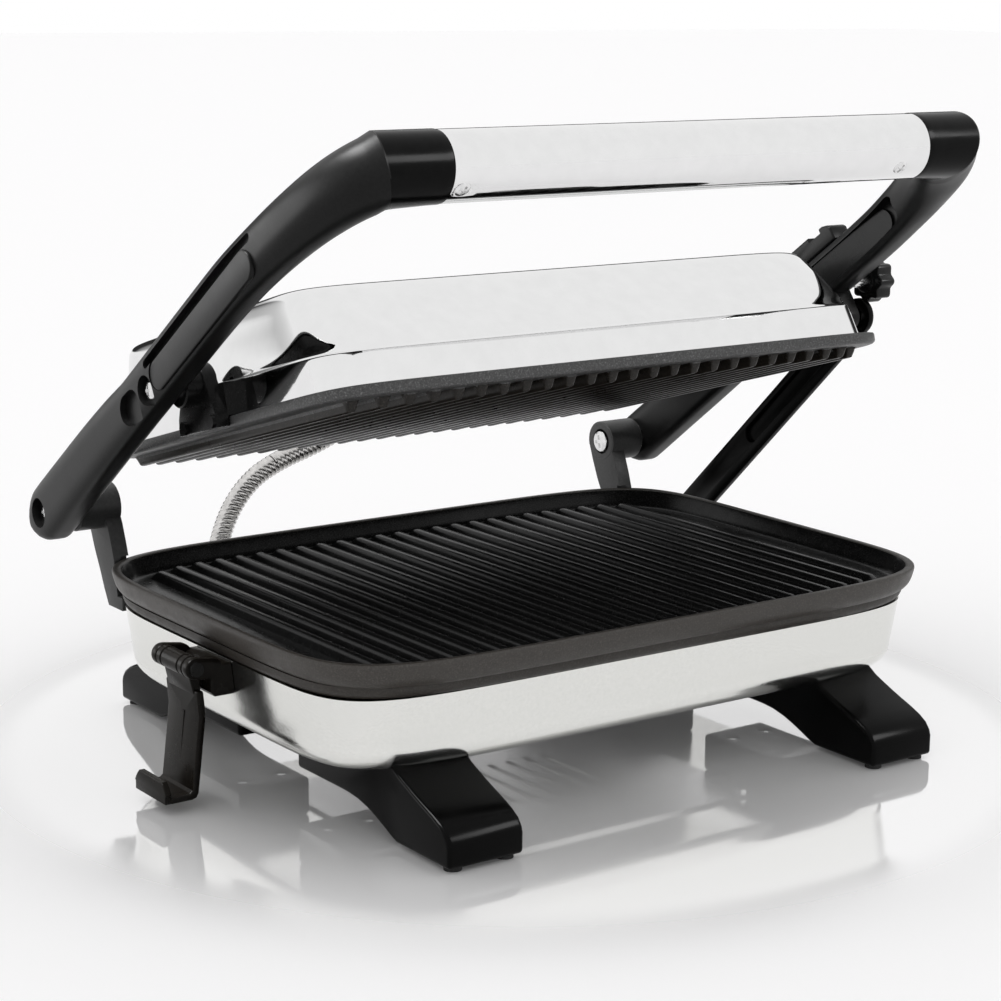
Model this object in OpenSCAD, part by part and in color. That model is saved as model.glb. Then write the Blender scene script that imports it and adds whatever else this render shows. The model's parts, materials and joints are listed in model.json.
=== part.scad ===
/* [Lower plate and base] */
// Half width of the lower plate's rim
rim_half_w = 159.5; // [158:0.5:160]
// Half depth of the lower plate's rim
rim_half_d = 113; // [112:0.5:113.5]
// Height of the rim's top above the table
rim_top = 77; // [76.5:0.1:77.2]
// Height of the housing's flat bottom above the table
base_bottom = 29.5; // [29.5:0.5:31]
// Centre distance of the cooking ribs
rib_pitch = 10.8; // [10:0.1:11]
// Number of ribs on each plate
rib_count = 25; // [19:2:25]

/* [Feet] */
// Width of one foot
foot_w = 35; // [30:1:36]
// Outer side of the feet, from the middle
foot_out = 127; // [122:0.5:128]
// Front end of the front feet
foot_front = 138; // [136:0.5:139]

/* [Handle] */
// Height of the hinge axis
hinge_z = 98.6; // [98:0.1:99]
// Distance of the hinge axis behind the middle
hinge_y = 114.3; // [113.5:0.1:115]
// Rise of the arms in the open pose, in degrees
arm_rise = 35.7; // [35:0.1:36.5]
// Distance from the hinge axis to the handle tube
arm_reach = 281.9; // [278:0.1:285]
// Middle plane of each arm, from the middle
arm_mid = 166; // [165.5:0.1:167]
// Thickness of an arm
arm_t = 14; // [13:0.5:14]
// Height of an arm's section
arm_h = 21; // [20:0.5:22]
// Radius of the handle tube
tube_r = 13.6; // [12.5:0.1:14]

/* [Lid] */
// Rise of the lid's front in the open pose, in degrees
lid_tilt = 16.1; // [15.5:0.1:16.5]
// Half width of the upper plate
lid_half_w = 144; // [140:0.5:144]
// Depth of the upper plate
lid_depth = 217; // [210:1:217]
// Height of the lid shell above the upper plate's lower face
lid_height = 50; // [46:0.5:52]

/* [Stay and latch] */
// Width of the lid stay
stay_w = 16.6; // [15:0.2:17]
// Thickness of the lid stay
stay_t = 3; // [2:0.5:3]
// Width of the latch strap
latch_w = 27; // [25:0.5:28]

/* [Hidden] */

$fn = 48;
ring_n = 88;            // points in a rounded outline
fit_gap = 0.05;         // radial clearance of a running fit
rim_y = -4.5;           // middle of the plate and housing
rim_exp = 6.5;          // exponent of the plate's bowed outline
base_exp = 7.2;         // exponent of the housing's outline, which has tighter corners
rim_low = 61;           // lower edge of the bezel
rim_step = 66.6;        // joint between bezel and plate
plate_floor = 68.4;     // cooking face between the ribs
rib_h = 4.4;
shield_z = 54;           // heat shield under the element

plastic = [0.07, 0.07, 0.07];
cast = [0.22, 0.21, 0.21];
paint = [0.87, 0.87, 0.86];
chrome = [0.86, 0.87, 0.89];
steel = [0.62, 0.63, 0.65];
rubber = [0.1, 0.1, 0.1];

// ---- places that follow from the sizes above

arm_in = arm_mid - arm_t / 2;
arm_out = arm_mid + arm_t / 2;
post_in = 138.5;
post_out = 146;
barrel_r = 10.2;
hinge_r = 3;
pivot_r = 4;
pivot_along = 104.2;            // lid pivot along the lid, from its frame's origin
pivot_rise = 19.6;              // lid pivot above the upper plate's lower face
stay_foot = [97.5, 54];         // y and z of the stay's lower pivot
stay_s = 163.8;                 // stay stud along the arm from the hinge
stay_p = -20.4;                 // stay stud below the arm's middle line
stay_x = 175.2;                 // inner face of the stay
stud_r = 2.5;
close_turn = 34.45;             // turn of the arms from open to closed
knob_s = 172.8;
knob_p = -6.8;
latch_axis = [-171, 60];        // x and z of the latch pin
latch_y = -8;                   // middle of the latch strap

function sgn(v) = v < 0 ? -1 : 1;

// Closed outline with bowed sides: half sizes a and b, exponent n, middle yc, height z
function bowed(z, a, b, n = rim_exp, yc = rim_y) = [
    for (i = [0:ring_n - 1])
        let (c = cos(360 * i / ring_n), s = sin(360 * i / ring_n))
        [a * sgn(c) * pow(abs(c), 2 / n), yc + b * sgn(s) * pow(abs(s), 2 / n), z]
];

// Half depth of the bowed outline at a distance x from its middle
function bowed_y(x, a, b, n = rim_exp) = b * pow(1 - pow(abs(x) / a, n), 1 / n);

// Solid through a stack of rings that have the same number of points
module loft(rings) {
    m = len(rings[0]);
    top = (len(rings) - 1) * m;
    polyhedron(
        points = [for (r = rings) each r],
        faces = concat(
            [[for (i = [0:m - 1]) i]],
            [for (k = [0:len(rings) - 2], i = [0:m - 1])
                [k * m + i, (k + 1) * m + i, (k + 1) * m + (i + 1) % m]],
            [for (k = [0:len(rings) - 2], i = [0:m - 1])
                [k * m + i, (k + 1) * m + (i + 1) % m, k * m + (i + 1) % m]],
            [[for (i = [m - 1:-1:0]) top + i]]
        )
    );
}

// Stack of bowed outlines: each entry is [height, half width, half depth]
module bowed_stack(levels, n = rim_exp, yc = rim_y) {
    loft([for (l = levels) bowed(l[0], l[1], l[2], n, yc)]);
}

// Cylinder along X from x0 to x1
module rod_x(x0, x1, y, z, r) {
    translate([min(x0, x1), y, z]) rotate([0, 90, 0]) cylinder(h = abs(x1 - x0), r = r);
}

// Cylinder along Y from y0 to y1
module rod_y(y0, y1, x, z, r) {
    translate([x, y1, z]) rotate([90, 0, 0]) cylinder(h = y1 - y0, r = r);
}

// Solid with a side profile in Y and Z, from x0 to x1
module side_plate(x0, x1, points) {
    translate([x0, 0, 0]) rotate([90, 0, 90]) linear_extrude(x1 - x0) polygon(points);
}

// Bar with round ends in the side view, from point p to point q
module side_bar(x0, x1, p, q, r) {
    d = [q[0] - p[0], q[1] - p[1]];
    rod_x(x0, x1, p[0], p[1], r);
    rod_x(x0, x1, q[0], q[1], r);
    translate([x0, p[0], p[1]]) rotate([atan2(d[1], d[0]), 0, 0])
        translate([0, 0, -r]) cube([x1 - x0, norm(d), 2 * r]);
}

// Tube along a list of points
function unit(v) = v / norm(v);
function tangent(path, i) =
    unit(path[min(i + 1, len(path) - 1)] - path[max(i - 1, 0)]);
function path_ring(path, i, r, sides) =
    let (t = tangent(path, i), u = unit(cross([1, 0.3, 0], t)), v = cross(t, u))
    [for (k = [0:sides - 1]) path[i] + r * (u * cos(360 * k / sides) + v * sin(360 * k / sides))];
module path_tube(path, r, sides = 12) {
    loft([for (i = [0:len(path) - 1]) path_ring(path, i, r, sides)]);
}

// ---- placement of the moving groups

// Arm frame: X is sideways, Y runs from the hinge to the handle, Z is the arm's upper side
module on_arm() {
    translate([0, hinge_y, hinge_z]) rotate([-arm_rise, 0, 0]) mirror([0, 1, 0]) children();
}

// Lid frame: Y runs back from the plate's front edge, Z up from the plate's lower face
module on_lid() {
    translate([0, pivot[0], pivot[1]]) rotate([-lid_tilt, 0, 0])
        translate([0, -pivot_along, -pivot_rise]) children();
}

pivot_s = 123.3;         // lid pivot along the arm
pivot_p = -3.8;          // lid pivot below the arm's middle line
function arm_point(s, p) = [
    hinge_y - s * cos(arm_rise) + p * sin(arm_rise),
    hinge_z + s * sin(arm_rise) + p * cos(arm_rise)
];
pivot = arm_point(pivot_s, pivot_p);

module both_sides() {
    children();
    mirror([1, 0, 0]) children();
}

// ---- base

base_levels = [
    [base_bottom, 143.5, 93.4], [base_bottom + 0.7, 147, 96.9], [base_bottom + 2.8, 150, 99.9],
    [base_bottom + 6, 151.7, 101.6], [base_bottom + 10, 152.3, 102.2], [rim_low, 154.6, 104.7]
];
shell_gap = 0.3;         // clearance of the parts that are fitted to the housing

// Block of the housing's outer shape, a little larger all round
module housing_block(grow = 0) {
    bowed_stack([for (l = base_levels) [l[0], l[1] + grow, l[2] + grow]], base_exp);
}

module base_body() {
    difference() {
        housing_block();
        bowed_stack([
            [base_bottom + 1.6, 142, 91.9], [base_bottom + 4, 148, 97.9],
            [base_bottom + 10, 150.6, 100.5], [rim_low + 1, 153, 103.1]
        ], base_exp);
        translate([-82, rim_y - 58, base_bottom - 1]) cube([164, 116, 4]);
    }
}

module base_housing() {
    color(paint) base_body();
}

module bottom_cover() {
    slot_w = 3;
    color(steel) difference() {
        translate([-88, rim_y - 64, base_bottom - 1.5]) cube([176, 128, 1.5]);
        for (x = [-40:10:40])
            translate([x - slot_w / 2, -20, base_bottom - 2]) cube([slot_w, 50, 3]);
    }
}

module bottom_cover_screws() {
    color(steel) for (x = [-84, 84], y = [rim_y - 60, rim_y + 60])
        translate([x, y, base_bottom - 3]) cylinder(h = 1.5, r = 3.2);
}

function rim_level(z, inset) = [z, rim_half_w - inset, rim_half_d - inset];

module lower_plate_solid() {
    bowed_stack([
        rim_level(rim_step, 3.6), rim_level(rim_step + 1.5, 2.2), rim_level(rim_step + 3.6, 1),
        rim_level(rim_top - 1.2, 0), rim_level(rim_top - 0.4, 0.3), rim_level(rim_top, 1)
    ]);
}

module rib(length, base_w, top_w, height) {
    translate([0, length / 2, 0]) rotate([90, 0, 0]) linear_extrude(length)
        polygon([[-base_w / 2, -0.5], [base_w / 2, -0.5], [top_w / 2, height], [-top_w / 2, height]]);
}

module lower_grill_plate() {
    color(cast) {
        difference() {
            lower_plate_solid();
            bowed_stack([
                rim_level(plate_floor, 8.5), rim_level(plate_floor + 1.5, 6.5),
                rim_level(rim_top - 1, 3.6), rim_level(rim_top + 1, 3)
            ]);
        }
        for (i = [0:rib_count - 1]) {
            x = (i - (rib_count - 1) / 2) * rib_pitch;
            translate([x, rim_y, plate_floor])
                rib(2 * bowed_y(x, rim_half_w - 10.5, rim_half_d - 11), 6, 3.2, rib_h);
        }
    }
}

module bezel_solid() {
    bowed_stack([
        [rim_low, 153, 104.4], [rim_low + 1.2, 155.2, 106.6], [rim_low + 3, 156.2, 107.6],
        [rim_step, 156.5, 107.9]
    ]);
}

module lower_plate_bezel() {
    color(cast) difference() {
        bezel_solid();
        bowed_stack([[rim_low - 1, 147, 98.4], [rim_step + 1, 147, 98.4]]);
    }
}

// Heating element: two straight legs joined by a half ring, in a level plane
module element(leg, spread, r) {
    for (s = [-1, 1])
        translate([-leg, s * spread / 2, 0]) rotate([0, 90, 0]) cylinder(h = 2 * leg, r = r);
    translate([-leg, 0, 0]) rotate([0, 0, 90])
        rotate_extrude(angle = 180) translate([spread / 2, 0, 0]) circle(r = r);
}

module lower_heating_element() {
    color(steel) translate([0, rim_y, rim_step - 3.6]) element(85, 90, 3.3);
}

module lower_heat_shield() {
    color(steel) difference() {
        union() {
            translate([-118, rim_y - 76, shield_z]) cube([236, 152, 1]);
            for (x = [-70, 70], y = [-65, 65])
                translate([x, rim_y + y, shield_z + 0.5]) cylinder(h = rim_step - shield_z - 0.5, r = 3);
        }
        translate([20, rim_y, shield_z - 1]) cylinder(h = 4, r = 15);
    }
}

module thermostat() {
    color(steel) translate([20, rim_y, 0]) {
        translate([0, 0, shield_z - 3]) cylinder(h = rim_step - shield_z + 3, r = 12);
        translate([-5, -3, shield_z - 9]) cube([10, 6, 7]);
    }
}

foot_mirror = -3;        // the rear feet mirror the front ones about this line

// Side profile of a foot: rounded top and arched underside
foot_top = [
    [-foot_front, 1.8], [-foot_front, 10.5], [-foot_front + 0.8, 13], [-foot_front + 3.2, 16],
    [-foot_front + 7, 18.4], [-foot_front + 12, 20.6], [-foot_front + 18, 22.8],
    [-foot_front + 24, 25.1], [-foot_front + 30, 27.6], [-foot_front + 35, 29.8],
    [-foot_front + 39, 31.8]
];
foot_under = [
    [-103, 33], [-80, 33], [-80, base_bottom - 0.1], [-27, base_bottom - 0.1], [-27, 12.2],
    [-58, 12.2], [-66, 12], [-73, 11.3], [-80, 9.7], [-86, 7.7], [-92, 5.3], [-97, 3.2], [-101, 1.8]
];

module foot(x_side, y_side) {
    low_x = x_side > 0 ? foot_out - foot_w : -foot_out;
    color(plastic) difference() {
        translate([0, y_side > 0 ? 2 * foot_mirror : 0, 0]) mirror([0, y_side > 0 ? 1 : 0, 0])
            side_plate(low_x, low_x + foot_w, concat(foot_top, foot_under));
        housing_block();
        for (s = [-1, 1])
            translate([x_side * (foot_out - foot_w / 2) + s * 10, foot_screw_y(y_side), 0])
                cylinder(h = 16, r = 3.2);
    }
}

function foot_screw_y(y_side) = foot_mirror + y_side * 36;

module front_foot_left() { foot(-1, -1); }
module front_foot_right() { foot(1, -1); }
module rear_foot_left() { foot(-1, 1); }
module rear_foot_right() { foot(1, 1); }

pad_front = -foot_front + 5.5;
pad_back = 2 * foot_mirror - pad_front;

module foot_pads() {
    color(rubber) for (x = [-1, 1], s = [-1, 1], y = [pad_front, pad_back])
        translate([x * (foot_out - foot_w / 2) + s * 12, y, 0]) cylinder(h = 1.8, r = 3.6);
}

module foot_screws() {
    color(steel) for (x = [-1, 1], s = [-1, 1], y = [-1, 1])
        translate([x * (foot_out - foot_w / 2) + s * 10, foot_screw_y(y), 13]) cylinder(h = 3, r = 2.9);
}

module hinge_post(inner) {
    color(plastic) difference() {
        union() {
            side_plate(post_in, post_out, [
                [hinge_y - 10, hinge_z + 1], [102, 92], [99, 84], [97, 77], [96, 70], [94, 60.8],
                [90, 60.8], [90, 55], [104, 55], [108, 62], [112, 70], [117, 79], [121, 88],
                [hinge_y + 10, hinge_z + 1]
            ]);
            rod_x(inner, arm_in - 1.1, hinge_y, hinge_z, barrel_r);
            translate([118, 84, 55]) cube([post_in - 117, 19, 5.8]);
        }
        housing_block(shell_gap);
        bowed_stack([[rim_low - 0.1, 156.8, 108.2], [rim_step + 0.1, 156.8, 108.2]]);
        bowed_stack([rim_level(rim_step - 0.1, 0.8), rim_level(rim_step + 3.6, -0.3), rim_level(rim_top + 1, -0.4)]);
        rod_x(inner - 1, arm_in + 1, hinge_y, hinge_z, hinge_r + fit_gap);
        rod_x(inner - 1, inner + 3, hinge_y, hinge_z, 6.4);
    }
}

module hinge_post_left() { mirror([1, 0, 0]) hinge_post(post_in); }
module hinge_post_right() { hinge_post(post_in); }

module latch_bracket() {
    color(plastic) difference() {
        union() {
            translate([-164, latch_y - 15, 46.5]) cube([24, 30, 13.9]);
            for (y = [latch_y - 15, latch_y + 11])
                side_lug(y);
        }
        housing_block(shell_gap);
        rod_y(latch_y - 20, latch_y + 20, latch_axis[0], latch_axis[1], 2);
    }
}

// Lug that carries one end of the latch pin
module side_lug(y) {
    rod_y(y, y + 4, latch_axis[0], latch_axis[1], 4.6);
    translate([latch_axis[0], y, latch_axis[1] - 4]) cube([8, 4, 7]);
}

module latch_pin() {
    color(chrome) {
        rod_y(latch_y - 15.6, latch_y + 15.6, latch_axis[0], latch_axis[1], 1.95);
        rod_y(latch_y - 16.6, latch_y - 15.2, latch_axis[0], latch_axis[1], 3);
    }
}

module latch_strap() {
    x0 = latch_axis[0];
    z0 = latch_axis[1];
    knuckle = 21.6;
    color(plastic) difference() {
        union() {
            rod_y(latch_y - knuckle / 2, latch_y + knuckle / 2, x0, z0, 4.4);
            translate([0, latch_y + knuckle / 2, 0]) rotate([90, 0, 0]) linear_extrude(knuckle)
                polygon([[x0, z0 + 2], [x0 + 4.4, z0], [x0 + 4.4, z0 - 12], [x0 + 1.4, z0 - 12],
                    [x0 - 1, z0 - 3]]);
            translate([0, latch_y + latch_w / 2, 0]) rotate([90, 0, 0]) linear_extrude(latch_w)
                polygon([[x0 + 1.4, z0 - 10], [x0 + 4.4, z0 - 10], [x0 + 5.4, z0 - 20], [x0 + 1.4, z0 - 55],
                    [x0 - 11.6, z0 - 55], [x0 - 11.6, z0 - 52], [x0 - 1.2, z0 - 52], [x0 + 2.4, z0 - 20]]);
            intersection() {
                translate([x0 - 13.6, latch_y - latch_w / 2, z0 - 60]) cube([2.4, latch_w, 8]);
                translate([x0 - 15, latch_y, z0 - 52 + 11.5]) rotate([0, 90, 0])
                    cylinder(h = 6, r = 18);
            }
        }
        rod_y(latch_y - 20, latch_y + 20, x0, z0, 2);
    }
}

module stay_bracket() {
    color(plastic) difference() {
        union() {
            translate([126, stay_foot[0] - 8, 44]) cube([44, 14, 10.5]);
            rod_x(165, stay_x - 0.8, stay_foot[0], stay_foot[1], 8);
        }
        housing_block(shell_gap);
        rod_x(160, 180, stay_foot[0], stay_foot[1], 3);
    }
}

module stay_pivot_pin() {
    color(chrome) {
        rod_x(161, stay_x + stay_t + 1, stay_foot[0], stay_foot[1], 2.95);
        rod_x(stay_x + stay_t + 0.4, stay_x + stay_t + 2, stay_foot[0], stay_foot[1], 6);
    }
}

// Stud distance from the stay's lower pivot, and its bearing, after the arms turn by t
function stud_at(t) =
    let (o = arm_point(stay_s, stay_p) - [hinge_y, hinge_z])
    [hinge_y + o[0] * cos(t) - o[1] * sin(t), hinge_z + o[0] * sin(t) + o[1] * cos(t)] - stay_foot;
stay_open = norm(stud_at(0));
stay_shut = norm(stud_at(close_turn));
stay_bearing = atan2(stud_at(0)[1], -stud_at(0)[0]);

module lid_stay() {
    slot_r = stud_r + 1.6;
    color(plastic) translate([0, stay_foot[0], stay_foot[1]]) rotate([-stay_bearing, 0, 0])
        mirror([0, 1, 0]) difference() {
            side_bar(stay_x, stay_x + stay_t, [0, 0], [stay_open, 0], stay_w / 2);
            rod_x(stay_x - 1, stay_x + stay_t + 1, 0, 0, 3);
            side_bar(stay_x - 1, stay_x + stay_t + 1, [stay_shut - 1.5, 1], [stay_open - 0.5, 1], slot_r);
        }
}

module cord_inlet() {
    color(plastic) difference() {
        union() {
            rod_y(92, 112, 60, 46, 7);
            rod_y(102, 106, 60, 46, 10);
        }
        housing_block(shell_gap);
        rod_y(85, 113, 60, 46, 3.6);
    }
}

module lower_conduit_gland() {
    color(chrome) difference() {
        rod_y(92, 107.6, -84, 48, 7.5);
        housing_block(shell_gap);
    }
}

// Route of the armoured conduit from the base to the lid
conduit_low = [
    [-84, 108, 48], [-84, 113, 48.3], [-83.5, 118, 49.5], [-82, 123, 52], [-79.5, 127.5, 57],
    [-76.5, 131, 63], [-73, 133.5, 70], [-69, 135, 78], [-64, 135.5, 86], [-58, 135.5, 93],
    [-51, 135.5, 98.5], [-43, 135.5, 102.5]
];
conduit_high = [
    [-42.2, 135.5, 102.85], [-35, 135.5, 105.5], [-27, 135.2, 108], [-19, 134.6, 110.8],
    [-11.5, 133.6, 114.2], [-5, 131.8, 118.2], [-1, 129.6, 122.2], [0.6, 127, 125.3],
    [0.6, 124.45, 127.95]
];

module lower_conduit() { color(steel) path_tube(conduit_low, 4.9); }
module upper_conduit() { color(steel) path_tube(conduit_high, 4.9); }

module upper_conduit_gland() {
    color(chrome) difference() {
        translate([0.6, 124.2, 128.2]) rotate([44, 0, 0]) cylinder(h = 20, r = 7);
        on_lid() lid_outer();
    }
}

// ---- handle frame

// Section of an arm at station k: straight part first, then a quarter turn to the tube
bend_r = 38;
straight = arm_reach - bend_r;
straight_stations = [0, 60, 120, 180, 205, 220, 232];
bend_steps = 14;
bend_w = 31;             // widest part of the bend
cap_d = 2 * tube_r + 0.4;
cap_in = 119;            // where the arm ends and the bare tube starts

function blend(t, v0, v1) = v0 + (v1 - v0) * t * t * (3 - 2 * t);
function arm_section(centre, side, w, h, n) = [
    for (i = [0:31])
        let (c = cos(11.25 * i), s = -sin(11.25 * i))
        centre + side * (w / 2 * sgn(c) * pow(abs(c), 2 / n)) + [0, 0, h / 2 * sgn(s) * pow(abs(s), 2 / n)]
];
function grow(s) = min(1, max(0, (s - 195) / (straight - 195)));
function arm_w(s) = blend(grow(s), arm_t, 19);
function arm_d(s) = blend(grow(s), arm_h, 23);
function bend_width(t) = t < 0.55 ? blend(t / 0.55, 19, bend_w) : blend((t - 0.55) / 0.45, bend_w, cap_d);

// Height of the arm's upper side above its middle line
function arm_top(s) = 0.05 + arm_d(s) / 2;

module arm_body() {
    rings = concat(
        [for (s = straight_stations)
            arm_section([arm_mid, s, 0], [1, 0, 0], arm_w(s), arm_d(s), 4)],
        [for (k = [0:bend_steps])
            let (a = 90 * k / bend_steps, t = k / bend_steps)
            arm_section(
                [arm_mid - bend_r * (1 - cos(a)), straight + bend_r * sin(a), 0],
                [cos(a), sin(a), 0],
                bend_width(t), blend(t, 23, cap_d), 4 - 2 * t
            )],
        [arm_section([cap_in, arm_reach, 0], [0, 1, 0], cap_d, cap_d, 2)]
    );
    loft(rings);
    rod_x(arm_in + 0.2, arm_out - 0.2, 0, 0, arm_h / 2 + 0.3);
}

// Long pocket with round ends in an arm's side
module arm_pocket(x0, x1, s0, s1, p, r) {
    side_bar(x0, x1, [s0, p], [s1, p], r);
}

module arm(left) {
    color(plastic) difference() {
        union() {
            arm_body();
            rod_x(cap_in - 18, cap_in + 3, arm_reach, 0, tube_r - 1.6);
            if (!left) side_bar(arm_in + 2, arm_out - 1, [stay_s, stay_p], [stay_s, -4], 6);
        }
        rod_x(arm_in - 1, arm_out + 3, 0, 0, hinge_r);
        rod_x(arm_out - 3.6, arm_out + 3, 0, 0, 6.3);
        rod_x(arm_in - 1, arm_out + 3, pivot_s, pivot_p, pivot_r);
        rod_x(arm_out - 3.6, arm_out + 3, pivot_s, pivot_p, 6.3);
        arm_pocket(arm_in - 4, arm_in + 2.6, 138, 215, 0, 6.5);
        arm_pocket(arm_in - 4, arm_in + 2.6, 26, 104, 0, 6.5);
        if (left) arm_pocket(arm_out - 0.9, arm_out + 5, 134, 216, 0, 6.5);
        if (!left) rod_x(arm_in - 1, arm_out + 3, stay_s, stay_p, stud_r);
        if (!left) rod_x(arm_in + 3, arm_out + 3, knob_s, knob_p, 3);
    }
}

module arm_left() { mirror([1, 0, 0]) on_arm() arm(true); }
module arm_right() { on_arm() arm(false); }

module arm_cover() {
    color(plastic) on_arm() arm_pocket(arm_in + 1, arm_in + 2.5, 26.2, 103.8, 0, 6.3);
    color(plastic) on_arm() arm_pocket(arm_in + 1, arm_in + 2.5, 138.2, 214.8, 0, 6.3);
}
module arm_cover_left() { mirror([1, 0, 0]) arm_cover(); }
module arm_cover_right() { arm_cover(); }

module arm_trim_left() {
    color(plastic) mirror([1, 0, 0]) on_arm()
        arm_pocket(arm_out - 0.8, arm_out + 0.4, 134.4, 215.6, 0, 6.1);
}

tube_end = cap_in - 0.1;

module handle_tube() {
    color(chrome) on_arm() difference() {
        rod_x(-tube_end, tube_end, arm_reach, 0, tube_r);
        rod_x(-tube_end - 1, tube_end + 1, arm_reach, 0, tube_r - 1.4);
    }
}

// Screws through the tube's lower front near each end, in world directions
handle_screw_x = [-114, 105];
handle_screw_turn = 126;
module handle_screws() {
    c = arm_point(arm_reach, 0);
    color(steel) for (x = handle_screw_x)
        translate([x, c[0], c[1]]) rotate([handle_screw_turn, 0, 0])
            translate([0, 0, tube_r + 0.02]) cylinder(h = 1.4, r = 3.4);
}

module hinge_bolts() {
    color(chrome) both_sides() {
        rod_x(post_in - 0.5, arm_out - 3, hinge_y, hinge_z, hinge_r - 0.03);
        rod_x(arm_out - 3.5, arm_out - 0.8, hinge_y, hinge_z, 5.4);
        rod_x(post_in - 1, post_in + 2.4, hinge_y, hinge_z, 5.4);
    }
}

module hinge_washers() {
    color(steel) both_sides() difference() {
        rod_x(arm_in - 0.9, arm_in - 0.02, hinge_y, hinge_z, 8.6);
        rod_x(arm_in - 2, arm_in + 2, hinge_y, hinge_z, hinge_r + 0.02);
    }
}

module lid_pivot_bolts() {
    color(chrome) both_sides() {
        rod_x(lid_half_w + 1, arm_out - 3.2, pivot[0], pivot[1], pivot_r - fit_gap);
        rod_x(arm_out - 3.5, arm_out - 1, pivot[0], pivot[1], 5.6);
    }
}

module stay_stud() {
    c = arm_point(stay_s, stay_p);
    color(chrome) {
        rod_x(arm_in + 2, stay_x + stay_t + 0.8, c[0], c[1], stud_r - 0.03);
        rod_x(stay_x + stay_t + 0.3, stay_x + stay_t + 1.9, c[0], c[1], 5);
    }
}

module knob_stud() {
    c = arm_point(knob_s, knob_p);
    color(steel) rod_x(arm_in + 4, 188, c[0], c[1], 2.95);
}

module arm_stop_block() {
    color(plastic) on_arm() side_plate(arm_in + 1.5, arm_out - 1.5, [
        [132, arm_top(132)], [170, arm_top(170)], [186, arm_top(186)],
        [186, 17.5], [181, 20.5], [150, 20.5], [134, 14]
    ]);
}

module lock_knob() {
    c = arm_point(knob_s, knob_p);
    color(plastic) difference() {
        union() {
            rod_x(180.6, 189.6, c[0], c[1], 9);
            for (a = [0:45:315])
                rod_x(180.6, 188.6, c[0] + 7.6 * cos(a), c[1] + 7.6 * sin(a), 2.9);
            rod_x(179.4, 181, c[0], c[1], 5.6);
        }
        rod_x(179, 188.2, c[0], c[1], 3);
    }
}

// ---- lid, in the lid frame

lid_front = 3;
lid_plate_t = 5;         // thickness of the upper plate's rim
function lid_ring(z, a, f, r, n) = bowed(z, a, (r - f) / 2, n, (r + f) / 2);
lid_levels = [
    [lid_plate_t, 140.5, 9.5, 214, 8], [18.8, 139.9, 13.4, 209.5, 9], [20.8, 139.2, 15.3, 208.6, 9],
    [lid_height - 5, 134.5, 37, 204, 10], [lid_height - 2.4, 132, 41.5, 201, 10],
    [lid_height - 1.3, 127, 47, 196, 9], [lid_height - 0.4, 105, 66, 178, 7], [lid_height, 60, 95, 148, 5]
];

module lid_outer() {
    loft([for (l = lid_levels) lid_ring(l[0], l[1], l[2], l[3], l[4])]);
}

module lid_inner() {
    loft([for (i = [0:len(lid_levels) - 1])
        let (l = lid_levels[i])
        lid_ring(l[0] - 1.3, l[1] - 1.3, l[2] + 1.5, l[3] - 1.5, l[4])]);
}

module lid_shell() {
    color(chrome) on_lid() difference() {
        lid_outer();
        lid_inner();
    }
}

module upper_grill_plate() {
    f = lid_front;
    r = lid_front + lid_depth;
    w = lid_half_w;
    color(cast) on_lid() {
        difference() {
            loft([
                lid_ring(0, w - 1.2, f + 1.2, r - 1.2, 8), lid_ring(1, w - 0.3, f + 0.3, r - 0.3, 8),
                lid_ring(lid_plate_t - 0.7, w, f, r, 8),
                lid_ring(lid_plate_t, w - 0.8, f + 0.8, r - 0.8, 8)
            ]);
            loft([lid_ring(2.6, w - 9, f + 12, r - 12, 8), lid_ring(6, w - 9, f + 12, r - 12, 8)]);
        }
        for (i = [0:rib_count - 1]) {
            x = (i - (rib_count - 1) / 2) * rib_pitch;
            translate([x, (f + r) / 2, 0]) mirror([0, 0, 1])
                rib(2 * bowed_y(x, w - 4.5, lid_depth / 2 - 6, 8), 6.4, 3.4, rib_h);
        }
    }
}

module upper_heating_element() {
    color(steel) on_lid() translate([0, lid_front + lid_depth / 2, 6.2]) element(85, 90, 3.3);
}

module upper_heat_shield() {
    mid = lid_front + lid_depth / 2;
    color(steel) on_lid() {
        translate([-115, mid - 78, 15]) cube([230, 156, 1]);
        for (x = [-70, 70], y = [-65, 65])
            translate([x, mid + y, 2.6]) cylinder(h = 12.6, r = 3);
    }
}

module lid_bracket() {
    inner = lid_half_w + 0.6;
    color(plastic) on_lid() difference() {
        union() {
            side_plate(inner, inner + 6.4, [
                [pivot_along - 19, 1], [pivot_along + 19, 1], [pivot_along + 17, 9],
                [pivot_along + 9, pivot_rise + 3], [pivot_along - 9, pivot_rise + 3], [pivot_along - 17, 9]
            ]);
            rod_x(inner, inner + 6.4, pivot_along, pivot_rise, 10);
            rod_x(inner, arm_in - 0.5, pivot_along, pivot_rise, 8.4);
            translate([lid_half_w - 6, pivot_along - 14, lid_plate_t + 0.2]) cube([7, 28, 13.8]);
        }
        lid_outer();
        rod_x(inner - 12, arm_in + 1, pivot_along, pivot_rise, pivot_r);
        for (s = [-1, 1]) rod_x(inner - 1, inner + 8, pivot_along + s * 12, 3.6, 1.5);
    }
}
module lid_bracket_left() { mirror([1, 0, 0]) lid_bracket(); }
module lid_bracket_right() { lid_bracket(); }

module lid_bracket_screws() {
    face = lid_half_w + 7;
    color(chrome) both_sides() on_lid() for (s = [-1, 1]) {
        rod_x(lid_half_w + 0.7, face + 1, pivot_along + s * 12, 3.6, 1.45);
        rod_x(face + 0.05, face + 1.6, pivot_along + s * 12, 3.6, 2.8);
    }
}

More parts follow.
